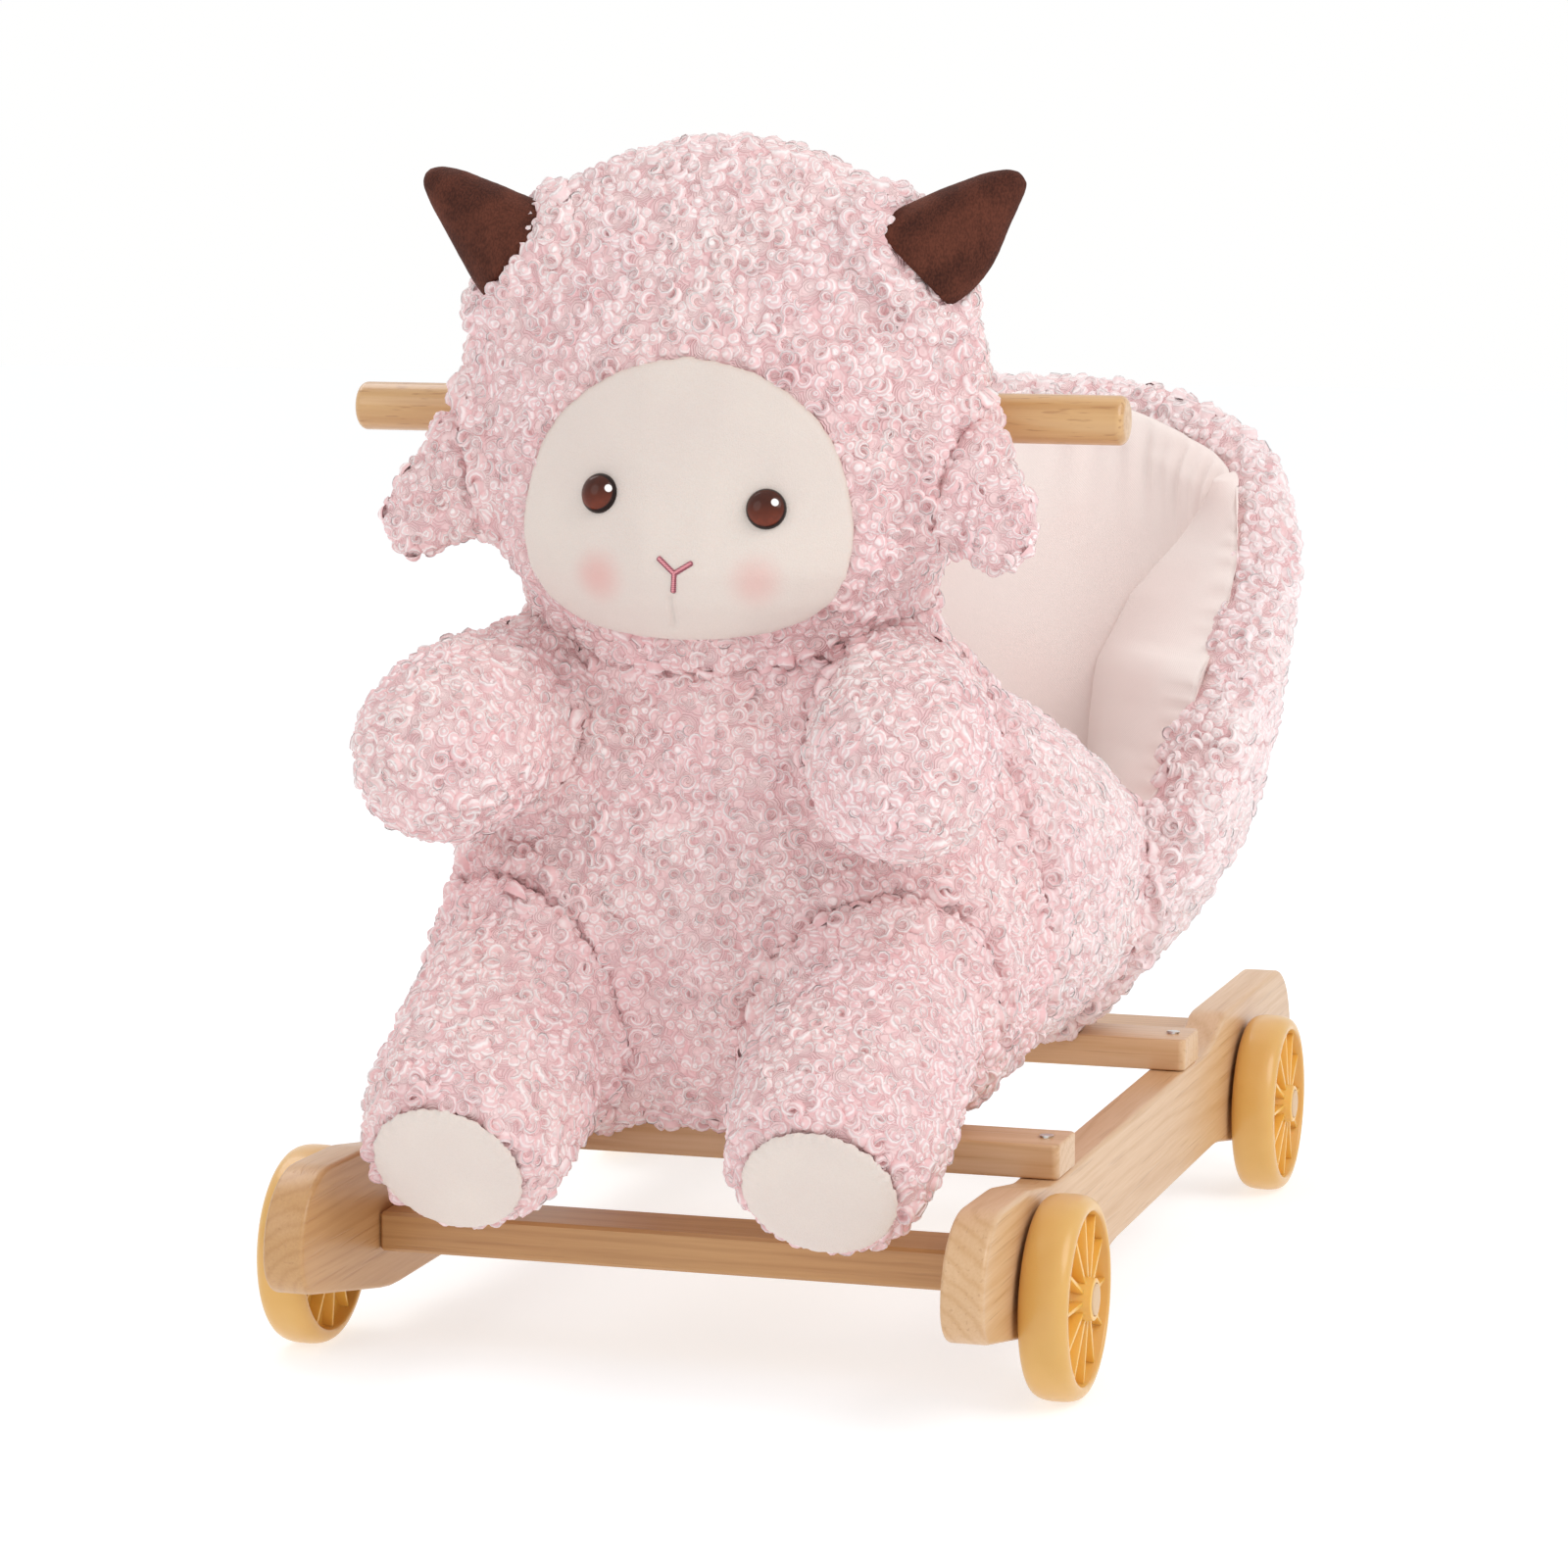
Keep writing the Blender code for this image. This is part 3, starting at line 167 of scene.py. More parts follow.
# %% A finish: one material and the ways to build it
class Finish:
    """A material around a Principled surface."""

    def __init__(self, name, **constants):
        self.material = bpy.data.materials.new(name)
        self.material.use_nodes = True
        self.tree = self.material.node_tree
        self.surface = self.tree.nodes["Principled BSDF"]
        sockets = {socket.name.lower(): socket for socket in self.surface.inputs}
        for name, value in constants.items():
            sockets[name.replace("_", " ")].default_value = value

    def node(self, kind, sockets=(), out=0, **settings):
        return Wire(self, add_node(self.tree, "ShaderNode" + kind, sockets, out, **settings))

    def place(self):
        return self.node("TexCoord", out="Object")

    def along(self, axis):
        """One coordinate of the shaded point, by name or number."""
        return self.node("SeparateXYZ", {0: self.place()}, out=axis)

    def kept(self, name):
        """A number that the mesh keeps at its corners."""
        return self.node("Attribute", out="Fac", attribute_name=name)

    def stretched(self, scale):
        """The shaded point with each axis multiplied, to draw a pattern out."""
        return self.node("VectorMath", {0: self.place(), 1: scale}, operation='MULTIPLY')

    def noise(self, scale, detail=2.0, roughness=0.5, vector=None):
        return self.node("TexNoise", {"Vector": vector or self.place(), "Scale": scale,
                                      "Detail": detail, "Roughness": roughness})

    def mix(self, factor, one, other):
        return self.node("Mix", {0: factor, 6: one, 7: other}, out=2, data_type='RGBA')

    def away_from(self, point):
        """Distance from a point of the model."""
        ends = {0: self.place(), 1: point}
        return self.node("VectorMath", ends, out="Value", operation='DISTANCE')

    def paint(self, colour, roughness=None, height=None, distance=0.001):
        """Feed the surface a colour, a roughness and a bump of a height."""
        feed(self.surface.inputs["Base Color"], colour)
        if roughness is not None:
            feed(self.surface.inputs["Roughness"], roughness)
        if height is not None:
            sockets = {"Strength": 1.0, "Distance": distance, "Height": height}
            feed(self.surface.inputs["Normal"], self.node("Bump", sockets))
        return self.material


def shade(red, green, blue):
    """A colour as a screen shows it, 0 to 255, turned into the light it stands for."""
    parts = [value / 255 for value in (red, green, blue)]
    light = [p / 12.92 if p <= 0.04045 else ((p + 0.055) / 1.055) ** 2.4 for p in parts]
    return (*light, 1.0)


def dress(material, *names):
    """Give CAD nodes a material."""
    for name in names:
        nodes[name].data.materials.clear()
        nodes[name].data.materials.append(material)

# %% The floor
bpy.ops.mesh.primitive_plane_add(size=14, location=(0, 0, 0))
floor = bpy.context.object
floor.name = "floor"
ground = Finish("floor_white", roughness=0.9, base_color=(0.48, 0.50, 0.52, 1))
glow = ground.node("Emission", {"Color": (1, 1, 0.995, 1), "Strength": 0.64})
both = ground.node("AddShader", {0: ground.surface.outputs[0], 1: glow})
feed(ground.tree.nodes["Material Output"].inputs["Surface"], both)
floor.data.materials.append(ground.material)
floor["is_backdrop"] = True

# %% Helpers for objects
def choose(thing):
    """Select one object alone and make it the active one."""
    bpy.ops.object.select_all(action='DESELECT')
    thing.select_set(True)
    bpy.context.view_layer.objects.active = thing


def modify(thing, kind, **settings):
    """Add a modifier with its settings to an object and apply it."""
    modifier = thing.modifiers.new(kind.lower(), kind)
    for key, value in settings.items():
        setattr(modifier, key, value)
    choose(thing)
    bpy.ops.object.modifier_apply(modifier=modifier.name)


def twin(thing, name):
    """A copy of an object, with a mesh of its own."""
    other = thing.copy()
    other.data = thing.data.copy()
    other.name = name
    scene.collection.objects.link(other)
    return other


def numbers(rows, name, width):
    """What a mesh keeps in its rows under a name, as an array."""
    out = np.empty(len(rows) * width)
    rows.foreach_get(name, out)
    return out.reshape(-1, width)


def positions(thing):
    """The corners of a mesh."""
    return numbers(thing.data.vertices, "co", 3)


def normals(thing):
    """The outward directions at the corners of a mesh."""
    return numbers(thing.data.vertex_normals, "vector", 3)


def move(thing, points):
    """Put the corners of a mesh in new places."""
    thing.data.vertices.foreach_set("co", points.ravel())
    thing.data.update()


def tag(thing, name, values):
    """Keep one number for each corner of a mesh."""
    layers = thing.data.attributes
    layer = layers.get(name) or layers.new(name, 'FLOAT', 'POINT')
    layer.data.foreach_set("value", np.asarray(values, dtype=float))


def tagged(thing, name):
    """The numbers that a mesh keeps under a name."""
    return numbers(thing.data.attributes[name].data, "value", 1)[:, 0]


def ramp(values, start, length):
    """0 up to a start, 1 from a length on, which may be negative, and straight between."""
    return np.clip((values - start) / length, 0, 1)

# %% Helpers for making pieces
def primitive(kind, name, **settings):
    """One of Blender's own meshes, under a name."""
    bpy.ops.object.select_all(action='DESELECT')
    getattr(bpy.ops.mesh, f"primitive_{kind}_add")(**settings)
    thing = bpy.context.object
    thing.name = name
    return thing


def edit(thing, *steps):
    """Run mesh operators, each with its settings, on the whole mesh of an object."""
    choose(thing)
    bpy.ops.object.mode_set(mode='EDIT')
    for step, settings in steps:
        bpy.ops.mesh.select_all(action='SELECT')
        step(**settings)
    bpy.ops.object.mode_set(mode='OBJECT')


outwards = (bpy.ops.mesh.normals_make_consistent, {"inside": False})


def bevel(thing, width, segments, degrees=30):
    """Round every edge that turns by more than an angle."""
    modify(thing, 'BEVEL', width=width, segments=segments, limit_method='ANGLE',
           angle_limit=math.radians(degrees))


def shade_under(thing, degrees):
    """Shade smoothly over every edge that turns by less than an angle."""
    choose(thing)
    bpy.ops.object.shade_smooth_by_angle(angle=math.radians(degrees))


def copy_of(name, node):
    """A merged copy of a CAD node's mesh under a new name."""
    thing = bpy.data.objects.new(name, nodes[node].data.copy())
    scene.collection.objects.link(thing)
    edit(thing, (bpy.ops.mesh.remove_doubles, {"threshold": 0.00002}), outwards)
    thing.data.materials.clear()
    return thing


def wear(piece, material, node=None, body="chassis"):
    """Give a piece its material, say what it rides on, and hide the solid it stands for."""
    piece.data.materials.clear()
    piece.data.materials.append(material)
    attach(piece, body)
    if node:
        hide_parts(node)
    print(piece.name, "on", body, "has", len(piece.data.polygons), "faces")

# %% [markdown]
# ## Pine
#
# The boards, slats and rails are solid pale wood under a satin lacquer. A tree's rings are tubes
# round a pith, so the pattern is worked out in space: along a piece the rings show as flowing
# lines, and on its end they show as arcs, with no seam between the two.

# %% Wood in space
def pine(name, along, pith, pale, dark):
    """Pine whose rings run along an axis, 0 to 2, round a pith line."""
    ring, wander = 0.0056, 0.026
    finish = Finish(name, roughness=0.4, coat_weight=0.25, coat_roughness=0.25)
    stretch = [1.0, 1.0, 1.0]
    stretch[along] = 0.12
    drawn = finish.stretched(stretch)
    across = [finish.along(axis) for axis in range(3) if axis != along]
    wobble = finish.noise(16, 3.0, 0.55, drawn) - 0.5
    reach = ((across[0] - pith[0]) ** 2 + (across[1] - pith[1]) ** 2) ** 0.5 + wobble * wander
    rings = ((reach * (math.tau / ring)).sine() * 0.5 + 0.5) ** 3
    patches = finish.noise(11, vector=drawn)
    stretch[along] = 0.03
    fine = finish.stretched(stretch)
    fibre = finish.noise(900, 2.0, 0.6, fine)
    pores = finish.noise(520, 1.0, vector=fine).within(0.62, 0.74)
    tone = rings * 0.15 + fibre * 0.32 + patches * 0.48
    colour = finish.mix(tone.within(0.15, 0.85), pale, dark)
    colour = finish.mix(pores * 0.30, colour, shade(168, 118, 74))
    polish = 0.34 + fibre * 0.12
    return finish.paint(colour, polish, fibre * 0.3 - pores * 0.5, 0.0002)


pale_pine = shade(221, 183, 142)
deep_pine = shade(197, 150, 100)
dress(pine("inner_pine", 2, (0.03, -0.1), pale_pine, deep_pine), "handle_post", "back_block")
dress(pine("ply_pine", 1, (0.2, 0.02), pale_pine, deep_pine), "base_board", "back_board")
dress(pine("rail_pine", 0, (-0.23, 0.035), shade(200, 152, 98), shade(170, 119, 68)),
      "front_rail", "rear_rail")

# %% A plank from an outline
def rounded(corners, step=6):
    """Points round a polygon (u, v, radius) whose corners are smooth arcs."""
    points = []
    for i, (u, v, radius) in enumerate(corners):
        corner = Vector((u, v))
        back, ahead = ((Vector(corners[k % len(corners)][:2]) - corner).normalized()
                       for k in (i - 1, i + 1))
        half = back.angle(ahead) / 2
        centre = corner + (back + ahead).normalized() * radius / math.sin(half)
        start, end = ((corner + way * radius / math.tan(half) - centre).normalized()
                      for way in (back, ahead))
        steps = max(2, round(math.degrees(math.pi - 2 * half) / step))
        points += [centre + start.slerp(end, k / steps) * radius for k in range(steps + 1)]
    return points


def plank(name, outline, thickness, edge, turn):
    """A board: an outline drawn out to a thickness, its edges rounded, set by a matrix."""
    board = primitive("circle", name, vertices=len(outline), radius=1, fill_type='NGON')
    move(board, np.array([(u, v, 0.0) for u, v in outline]))
    lift = {"TRANSFORM_OT_translate": {"value": (0, 0, thickness)}}
    edit(board, (bpy.ops.mesh.extrude_region_move, lift), outwards)
    bevel(board, edge, 4, 60)
    board.data.transform(turn)
    edit(board, outwards)
    shade_under(board, 35)
    return board

# %% The side boards again, with smoother curves
board_length, board_height, board_thickness, board_foot = 0.654, 0.078, 0.019, 0.0235
board_corners = [
    (along * board_length, up * board_height, radius * board_height) for along, up, radius in (
        (-0.500, 0.930, 0.45), (-0.379, 0.904, 0.77), (-0.315, 0.817, 0.77),
        (0.182, 0.817, 1.30), (0.242, 0.973, 0.55), (0.500, 0.965, 0.54), (0.500, 0.135, 0.28),
        (0.419, 0.000, 1.20), (0.318, 0.000, 0.80), (0.215, 0.158, 1.40), (-0.139, 0.154, 1.30),
        (-0.216, 0.000, 1.10), (-0.338, 0.000, 1.50), (-0.500, 0.263, 0.23))]
upright_plank = Matrix(((0, 0, 1, 0), (1, 0, 0, 0), (0, 1, 0, 0), (0, 0, 0, 1)))
for side, sign, x in (("left", 1, 0.143), ("right", -1, -0.162)):
    turn = Matrix.Translation((x, 0, board_foot)) @ upright_plank
    board = plank("board_" + side, rounded(board_corners), board_thickness, 0.0022, turn)
    # The right board is painted in darker tones all over: painted shade standing for the leg's
    # shadow over it.
    tones = (pale_pine, deep_pine) if sign > 0 else (shade(203, 158, 107), shade(180, 131, 80))
    grain = pine("board_pine_" + side, 1, (sign * 0.125, 0.030), *tones)
    wear(board, grain, "side_board_" + side)

# %% The slats again
slat_grain = pine("slat_pine", 0, (-0.17, 0.060), pale_pine, deep_pine)
for end in ("front", "rear"):
    low, high = (Vector(nodes[end + "_slat"].bound_box[k]) for k in (0, 6))
    half, deep = (high.x - low.x) / 2, (high.y - low.y) / 2
    corners = [(u * half, v * deep, 0.0035) for u, v in ((1, 1), (-1, 1), (-1, -1), (1, -1))]
    turn = Matrix.Translation((0, (low.y + high.y) / 2, low.z))
    slat = plank("slat_" + end, rounded(corners, 9), high.z - low.z, 0.0012, turn)
    wear(slat, slat_grain, end + "_slat")

# %% [markdown]
# ## Steel and plastic
#
# The screws and bolts are zinc-plated, and the wheels are injection-moulded in a honey colour
# that lets a little light in.

# %% Zinc-plated steel
zinc = Finish("zinc", metallic=1.0)
brushed = zinc.noise(2200)
steel = zinc.paint(zinc.mix(brushed, shade(196, 194, 191), shade(228, 226, 223)),
                   0.22 + brushed * 0.2, brushed, 0.00005)
plain = [name for name in nodes
         if name.startswith(("rail_screw", "slat_screw", "base_screw", "axle_bolt", "washer"))]
dress(steel, *plain)
print("steel on", len(plain), "solids")

# %% Slots in the slat screws
raised = 0.0014
blade_size = (0.008, 0.0009, 0.0016, 1)
for number, name in enumerate(sorted(n for n in nodes if n.startswith("slat_screw"))):
    screw = copy_of(name.replace("slat_", "slotted_"), name)
    screw.data.transform(Matrix.Translation((0, 0, raised)))
    top = max(corner[2] for corner in screw.bound_box)
    centre = [(screw.bound_box[0][axis] + screw.bound_box[6][axis]) / 2 for axis in (0, 1)]
    blade = primitive("cube", "blade", size=1)
    turn = Matrix.Translation((*centre, top)) @ Matrix.Rotation(0.5 + number * 1.1, 4, 'Z')
    blade.data.transform(turn @ Matrix.Diagonal(blade_size))
    modify(screw, 'BOOLEAN', operation='DIFFERENCE', object=blade)
    bpy.data.objects.remove(blade)
    shade_under(screw, 35)
    wear(screw, steel, name)

# %% Honey plastic
axles = {"front": -0.236, "rear": 0.204}
wheel_radius, wheel_out = 0.045, 0.175
honey = Finish("honey_plastic", subsurface_weight=0.12, subsurface_scale=0.003,
               subsurface_radius=(1.0, 0.6, 0.25), coat_weight=0.5, coat_roughness=0.2)
flow = honey.noise(60)
mould = honey.noise(1500, 1.0)
back, up = honey.along("Y"), honey.along("Z") - wheel_radius
reaches = [((back - y) ** 2 + up ** 2) ** 0.5 for y in axles.values()]
reach = reaches[0].math('MINIMUM', reaches[1])
tyre = honey.mix(flow, shade(226, 178, 99), shade(217, 165, 80))
web = honey.mix(flow, shade(240, 190, 90), shade(233, 178, 74))
honey_plastic = honey.paint(honey.mix(reach.within(0.0365, 0.0385), web, tyre),
                            0.34 + flow * 0.12, mould, 0.00004)
plug = Finish("plug_plastic")
speck = plug.noise(900, 1.0)
plug_plastic = plug.paint(plug.mix(speck, shade(222, 190, 152), shade(214, 180, 140)),
                          0.5 + speck * 0.1, speck, 0.00004)

# %% [markdown]
# ## Wheels
#
# A wheel is a section spun round its axle: a rounded tread, a thin rim, a web and a tapered hub.
# Twelve ribs stand on each face of the web. One wheel is made at the origin, and its copies are
# carried to the four axles.

# %% Spin the section
outer_half = (
    (0.0137, 0.0074), (0.0137, 0.0086), (0.0133, 0.0092), (0.0095, 0.0099), (0.0060, 0.0108),
    (0.0048, 0.0118), (0.0042, 0.0136), (0.0040, 0.0160), (0.0040, 0.0362), (0.0045, 0.0371),
    (0.0056, 0.0376), (0.0098, 0.0379), (0.0106, 0.0382), (0.0110, 0.0388), (0.0110, 0.0396),
    (0.0108, 0.0408), (0.0102, 0.0420), (0.0092, 0.0431), (0.0079, 0.0439), (0.0062, 0.0445),
    (0.0042, 0.04485), (0.0021, 0.0450), (0.0000, 0.0450))
inner_half = [(-x, r) for x, r in outer_half[-2::-1] if r > 0.0105] + [(-0.0110, 0.0104)]
bore = [(-0.0110, 0.0032), (0.0067, 0.0032), (0.0067, 0.0074)]
section = np.array([(x, 0.0, r) for x, r in (*outer_half, *inner_half, *bore)])
first_wheel = primitive("circle", "first_wheel", vertices=len(section), radius=1,
                        fill_type='NOTHING')
move(first_wheel, section)
once_round = {"steps": 120, "angle": math.tau, "center": (0, 0, 0), "axis": (1, 0, 0),
              "use_auto_merge": True}
edit(first_wheel, (bpy.ops.mesh.spin, once_round))
edit(first_wheel, outwards)
print("the spun section has", len(first_wheel.data.polygons), "faces")

# %% Add the ribs and make the cap
rib_count = 12
ribs = []
for k in range(rib_count):
    rib = primitive("cube", "rib", size=2)
    corner = positions(rib)
    foot = corner[:, 2] < 0
    wide = corner[:, 0] * np.where(foot, 0.0104, 0.0088)
    thick = corner[:, 1] * np.where(foot, 0.00100, 0.00080)
    move(rib, np.column_stack((wide, thick, np.where(foot, 0.0085, 0.0380))))
    bevel(rib, 0.0004, 2)
    rib.data.transform(Matrix.Rotation(k * math.tau / rib_count, 4, 'X'))
    ribs.append(rib)
choose(first_wheel)
for rib in ribs:
    rib.select_set(True)
bpy.ops.object.join()
shade_under(first_wheel, 38)

first_cap = primitive("cylinder", "first_cap", vertices=64, radius=0.0070, depth=0.0074)
bevel(first_cap, 0.0008, 3, 60)
first_cap.data.transform(Matrix.Translation((0.0106, 0, 0))
                         @ Matrix.Rotation(math.pi / 2, 4, 'Y'))
shade_under(first_cap, 38)

# %% Carry wheels and caps to the axles
sides = (("left", 1), ("right", -1))
for end, y in axles.items():
    for side, sign in sides:
        turn = Matrix.Translation((sign * wheel_out, y, wheel_radius))
        if sign < 0:
            turn = turn @ Matrix.Rotation(math.pi, 4, 'Z')
        for first, node, material, slot in (
                (first_wheel, "wheel_", honey_plastic, "honey_plastic"),
                (first_cap, "hub_cap_", plug_plastic, "cap_plastic")):
            thing = twin(first, f"{node}of_{end}_{side}")
            thing.data.transform(turn)
            wear(thing, material, f"{node}{end}_{side}", f"rolling_{end}_{side}")
bpy.data.objects.remove(first_wheel)
bpy.data.objects.remove(first_cap)

# %% [markdown]
# ## The stuffed bodies
#
# Each body starts as a copy of its solid. A voxel remesh gives it even faces, and smoothing
# rolls its edges over, as fabric over stuffing does. Where two bodies are sewn together there
# is no pile to see, so each body also learns how far every point is from its neighbours.

# %% One stuffed form from one solid
def stuffed(name, node, voxel, rounds, inset):
    """Remesh and smooth a copy of a solid, and draw it in by an inset."""
    thing = copy_of(name, node)
    modify(thing, 'REMESH', mode='VOXEL', voxel_size=voxel)
    modify(thing, 'SMOOTH', iterations=rounds)
    bpy.ops.object.shade_smooth()
    move(thing, positions(thing) - normals(thing) * inset)
    return thing

# %% How far each point is from the neighbours
def surface_of(things):
    """A search tree over the faces of several pieces."""
    points, faces = [], []
    for thing in things:
        start = len(points)
        points += [vertex.co.copy() for vertex in thing.data.vertices]
        faces += [[start + i for i in face.vertices] for face in thing.data.polygons]
    return BVHTree.FromPolygons(points, faces)


def gap_to(thing, names):
    """Distance from each corner to the nearest of some CAD nodes."""
    others = surface_of([nodes[name] for name in names])
    return np.array([others.find_nearest(Vector(p))[3] for p in positions(thing)])

# %% [markdown]
# ## The handlebar
#
# The bar is a turned dowel with rounded ends. It is seen close to the face, so it is made again
# with finer rounding than its solid, in a warmer wood with short dark pores.

# %% Turn the dowel
bar_radius, bar_length = 0.011, 0.360
dowel = primitive("cylinder", "dowel", vertices=96, radius=bar_radius, depth=bar_length)
bevel(dowel, 0.0036, 7, 60)
bar_middle = sum((Vector(corner) for corner in nodes["handlebar"].bound_box), Vector()) / 8
dowel.data.transform(Matrix.Translation(bar_middle) @ Matrix.Rotation(math.pi / 2, 4, 'Y'))
shade_under(dowel, 40)
bar_finish = Finish("bar_wood", roughness=0.35, coat_weight=0.5, coat_roughness=0.12)
short, long = (bar_finish.stretched((scale, 1.0, 1.0)) for scale in (0.12, 0.05))
dashes = bar_finish.noise(620, vector=short)
bands = bar_finish.noise(150, 3.0, 0.6, long).within(0.3, 0.7)
bar_tone = bar_finish.mix(bands * 0.8, shade(214, 170, 116), shade(190, 140, 84))
bar_tone = bar_finish.mix(dashes.within(0.56, 0.70) * 0.5, bar_tone, shade(160, 108, 60))
bar_wood = bar_finish.paint(bar_tone, 0.32 + bands * 0.08, dashes, 0.00008)
wear(dowel, bar_wood, "handlebar")

# %% [markdown]
# ## One lock, many locks
#
# A lock of the pile is a bundle of strands that rises from the ground cloth, curls round and
# comes down again. Three such bundles are bent from a small grid into ridges like crescents, and
# three more lie closed, as low mounds. A node group scatters them over each body, turned and
# tilted by chance. Each lock remembers its places across its strands and its height, so the
# material can draw strands along it with their crests painted lighter, as painted highlights, and
# paint its crown lighter and its foot darker, as painted light and painted shade.

# %% Keep a shape aside
root = 0.0022  # how deep a lock goes into the ground cloth


def formed(thing, points, across, high):
    """Bend a mesh, keep the numbers its material reads, and take it out of the scene."""
    move(thing, points)
    tag(thing, "across", across)
    tag(thing, "high", high)
    choose(thing)
    bpy.ops.object.shade_smooth()
    for home in list(thing.users_collection):
        home.objects.unlink(thing)
    return thing

# %% Bend grids and balls into locks
def lock(name, turns, wide, start, end, rise):
    """A ridge that runs round from one radius to another and sinks at both ends."""
    ridge = primitive("grid", name, x_subdivisions=9, y_subdivisions=4, size=2)
    flat = positions(ridge)
    along, across = (flat[:, 0] + 1) / 2, flat[:, 1]
    angle = along * turns * math.tau
    bulk = np.sin(np.pi * (along * 0.94 + 0.03)) ** 0.5
    radius = start + (end - start) * along + across * wide * (0.30 + 0.70 * bulk)
    high = bulk * (1 - across ** 2)
    x, y = radius * np.cos(angle) - start, radius * np.sin(angle)
    return formed(ridge, np.column_stack((x, y, (rise + root) * high - root)), across, high)


def bud(name, wide, rise, aside):
    """A closed curl seen from above: a low mound whose strands run round a point beside it."""
    mound = primitive("uv_sphere", name, segments=10, ring_count=6, radius=1)
    upper = {"plane_co": (0, 0, 0.02), "plane_no": (0, 0, 1), "clear_inner": True}
    edit(mound, (bpy.ops.mesh.bisect, upper))
    flat = positions(mound)
    reach = np.hypot(flat[:, 0], flat[:, 1]) ** 1.2
    angle = np.arctan2(flat[:, 1], flat[:, 0])
    lobes = 1 + 0.13 * np.sin(angle * 3 + wide * 900) + 0.07 * np.sin(angle * 2)
    height = (rise + root) * (1 - reach ** 2) - root
    x, y = wide * reach * lobes * np.cos(angle), wide * reach * lobes * np.sin(angle)
    return formed(mound, np.column_stack((x, y, height)),
                  2.0 * np.hypot(x / wide - aside, y / wide), np.clip(1 - 1.5 * reach ** 2, 0, 1))


shapes = (
    (lock, "lock_open", 0.66, 0.00200, 0.0027, 0.0033, 0.0022),
    (lock, "lock_round", 0.96, 0.00180, 0.0021, 0.0029, 0.0024),
    (lock, "lock_coil", -1.20, 0.00160, 0.0018, 0.0032, 0.0025),
    (bud, "bud_small", 0.0038, 0.0021, 0.10),
    (bud, "bud_round", 0.0042, 0.0019, 0.22),
    (bud, "bud_wide", 0.0046, 0.0017, 0.34),
)
locks = bpy.data.collections.new("locks")
for make, *shape in shapes:
    locks.objects.link(make(*shape))

# %% Scatter the locks
def scatter_tree(spacing, size, seed, middle, half):
    """A node group that sets locks on a body, a spacing apart, in a slab of it across x."""
    tilt, smallest, largest, in_crease = 0.20, 0.82, 1.25, 1.2
    tree = bpy.data.node_groups.new("scatter", 'GeometryNodeTree')
    for way in ('INPUT', 'OUTPUT'):
        tree.interface.new_socket("Geometry", in_out=way, socket_type='NodeSocketGeometry')
    step = partial(add_node, tree)

    def kept(name):
        return step("GeometryNodeInputNamedAttribute", {"Name": name}, data_type='FLOAT')

    body = step("NodeGroupInput")
    points = step("GeometryNodeDistributePointsOnFaces",
                  {"Mesh": body, "Distance Min": spacing, "Density Max": 90000.0,
                   "Density Factor": kept("pile"), "Seed": seed}, distribute_method='POISSON')
    kinds = step("GeometryNodeCollectionInfo",
                 {"Collection": locks, "Separate Children": True, "Reset Children": True})
    lean = step("FunctionNodeRandomValue",
                {"Min": (-tilt, -tilt, -math.pi), "Max": (tilt, tilt, math.pi), "Seed": seed + 1},
                data_type='FLOAT_VECTOR')
    turn = step("FunctionNodeEulerToRotation", {0: lean})
    stand = step("FunctionNodeRotateRotation", {0: points.node.outputs["Rotation"], 1: turn},
                 rotation_space='LOCAL')
    big = step("FunctionNodeRandomValue", {2: size * smallest, 3: size * largest,
                                           "Seed": seed + 2}, out=1, data_type='FLOAT')
    longer = step("ShaderNodeMapRange",
                  {"Value": kept("crease"), "To Min": in_crease, "To Max": 1.0})
    full = step("ShaderNodeMath", {0: big, 1: longer}, operation='MULTIPLY')
    apart = step("ShaderNodeSeparateXYZ", {0: step("GeometryNodeInputPosition")})
    mine = step("ShaderNodeMath", {0: apart, 1: middle, 2: half}, operation='COMPARE')
    placed = step("GeometryNodeInstanceOnPoints",
                  {"Points": points, "Instance": kinds, "Selection": mine,
                   "Pick Instance": True, "Rotation": stand, "Scale": full})
    chance = step("FunctionNodeRandomValue", {"Seed": seed + 3}, out=1, data_type='FLOAT')
    tinted = step("GeometryNodeStoreNamedAttribute",
                  {"Geometry": placed, "Name": "tint", "Value": chance},
                  data_type='FLOAT', domain='INSTANCE')
    step("NodeGroupOutput", {0: step("GeometryNodeRealizeInstances", {0: tinted})})
    return tree


def grow_pile(body, spacing, size, seed, count):
    """The locks of a body, shared between a count of objects from its right to its left."""
    ends = np.quantile(positions(body)[tagged(body, "pile") > 0, 0], np.linspace(0, 1, count + 1))
    ends[0], ends[-1] = ends[0] - 0.05, ends[-1] + 0.05
    grown = []
    for k in range(count):
        middle, half = (ends[k] + ends[k + 1]) / 2, (ends[k + 1] - ends[k]) / 2
        name = body.name.replace("cloth", "pile") + (f"_{k + 1}" if count > 1 else "")
        grown.append(twin(body, name))
        modify(grown[-1], 'NODES', node_group=scatter_tree(spacing, size, seed, middle, half))
    return grown

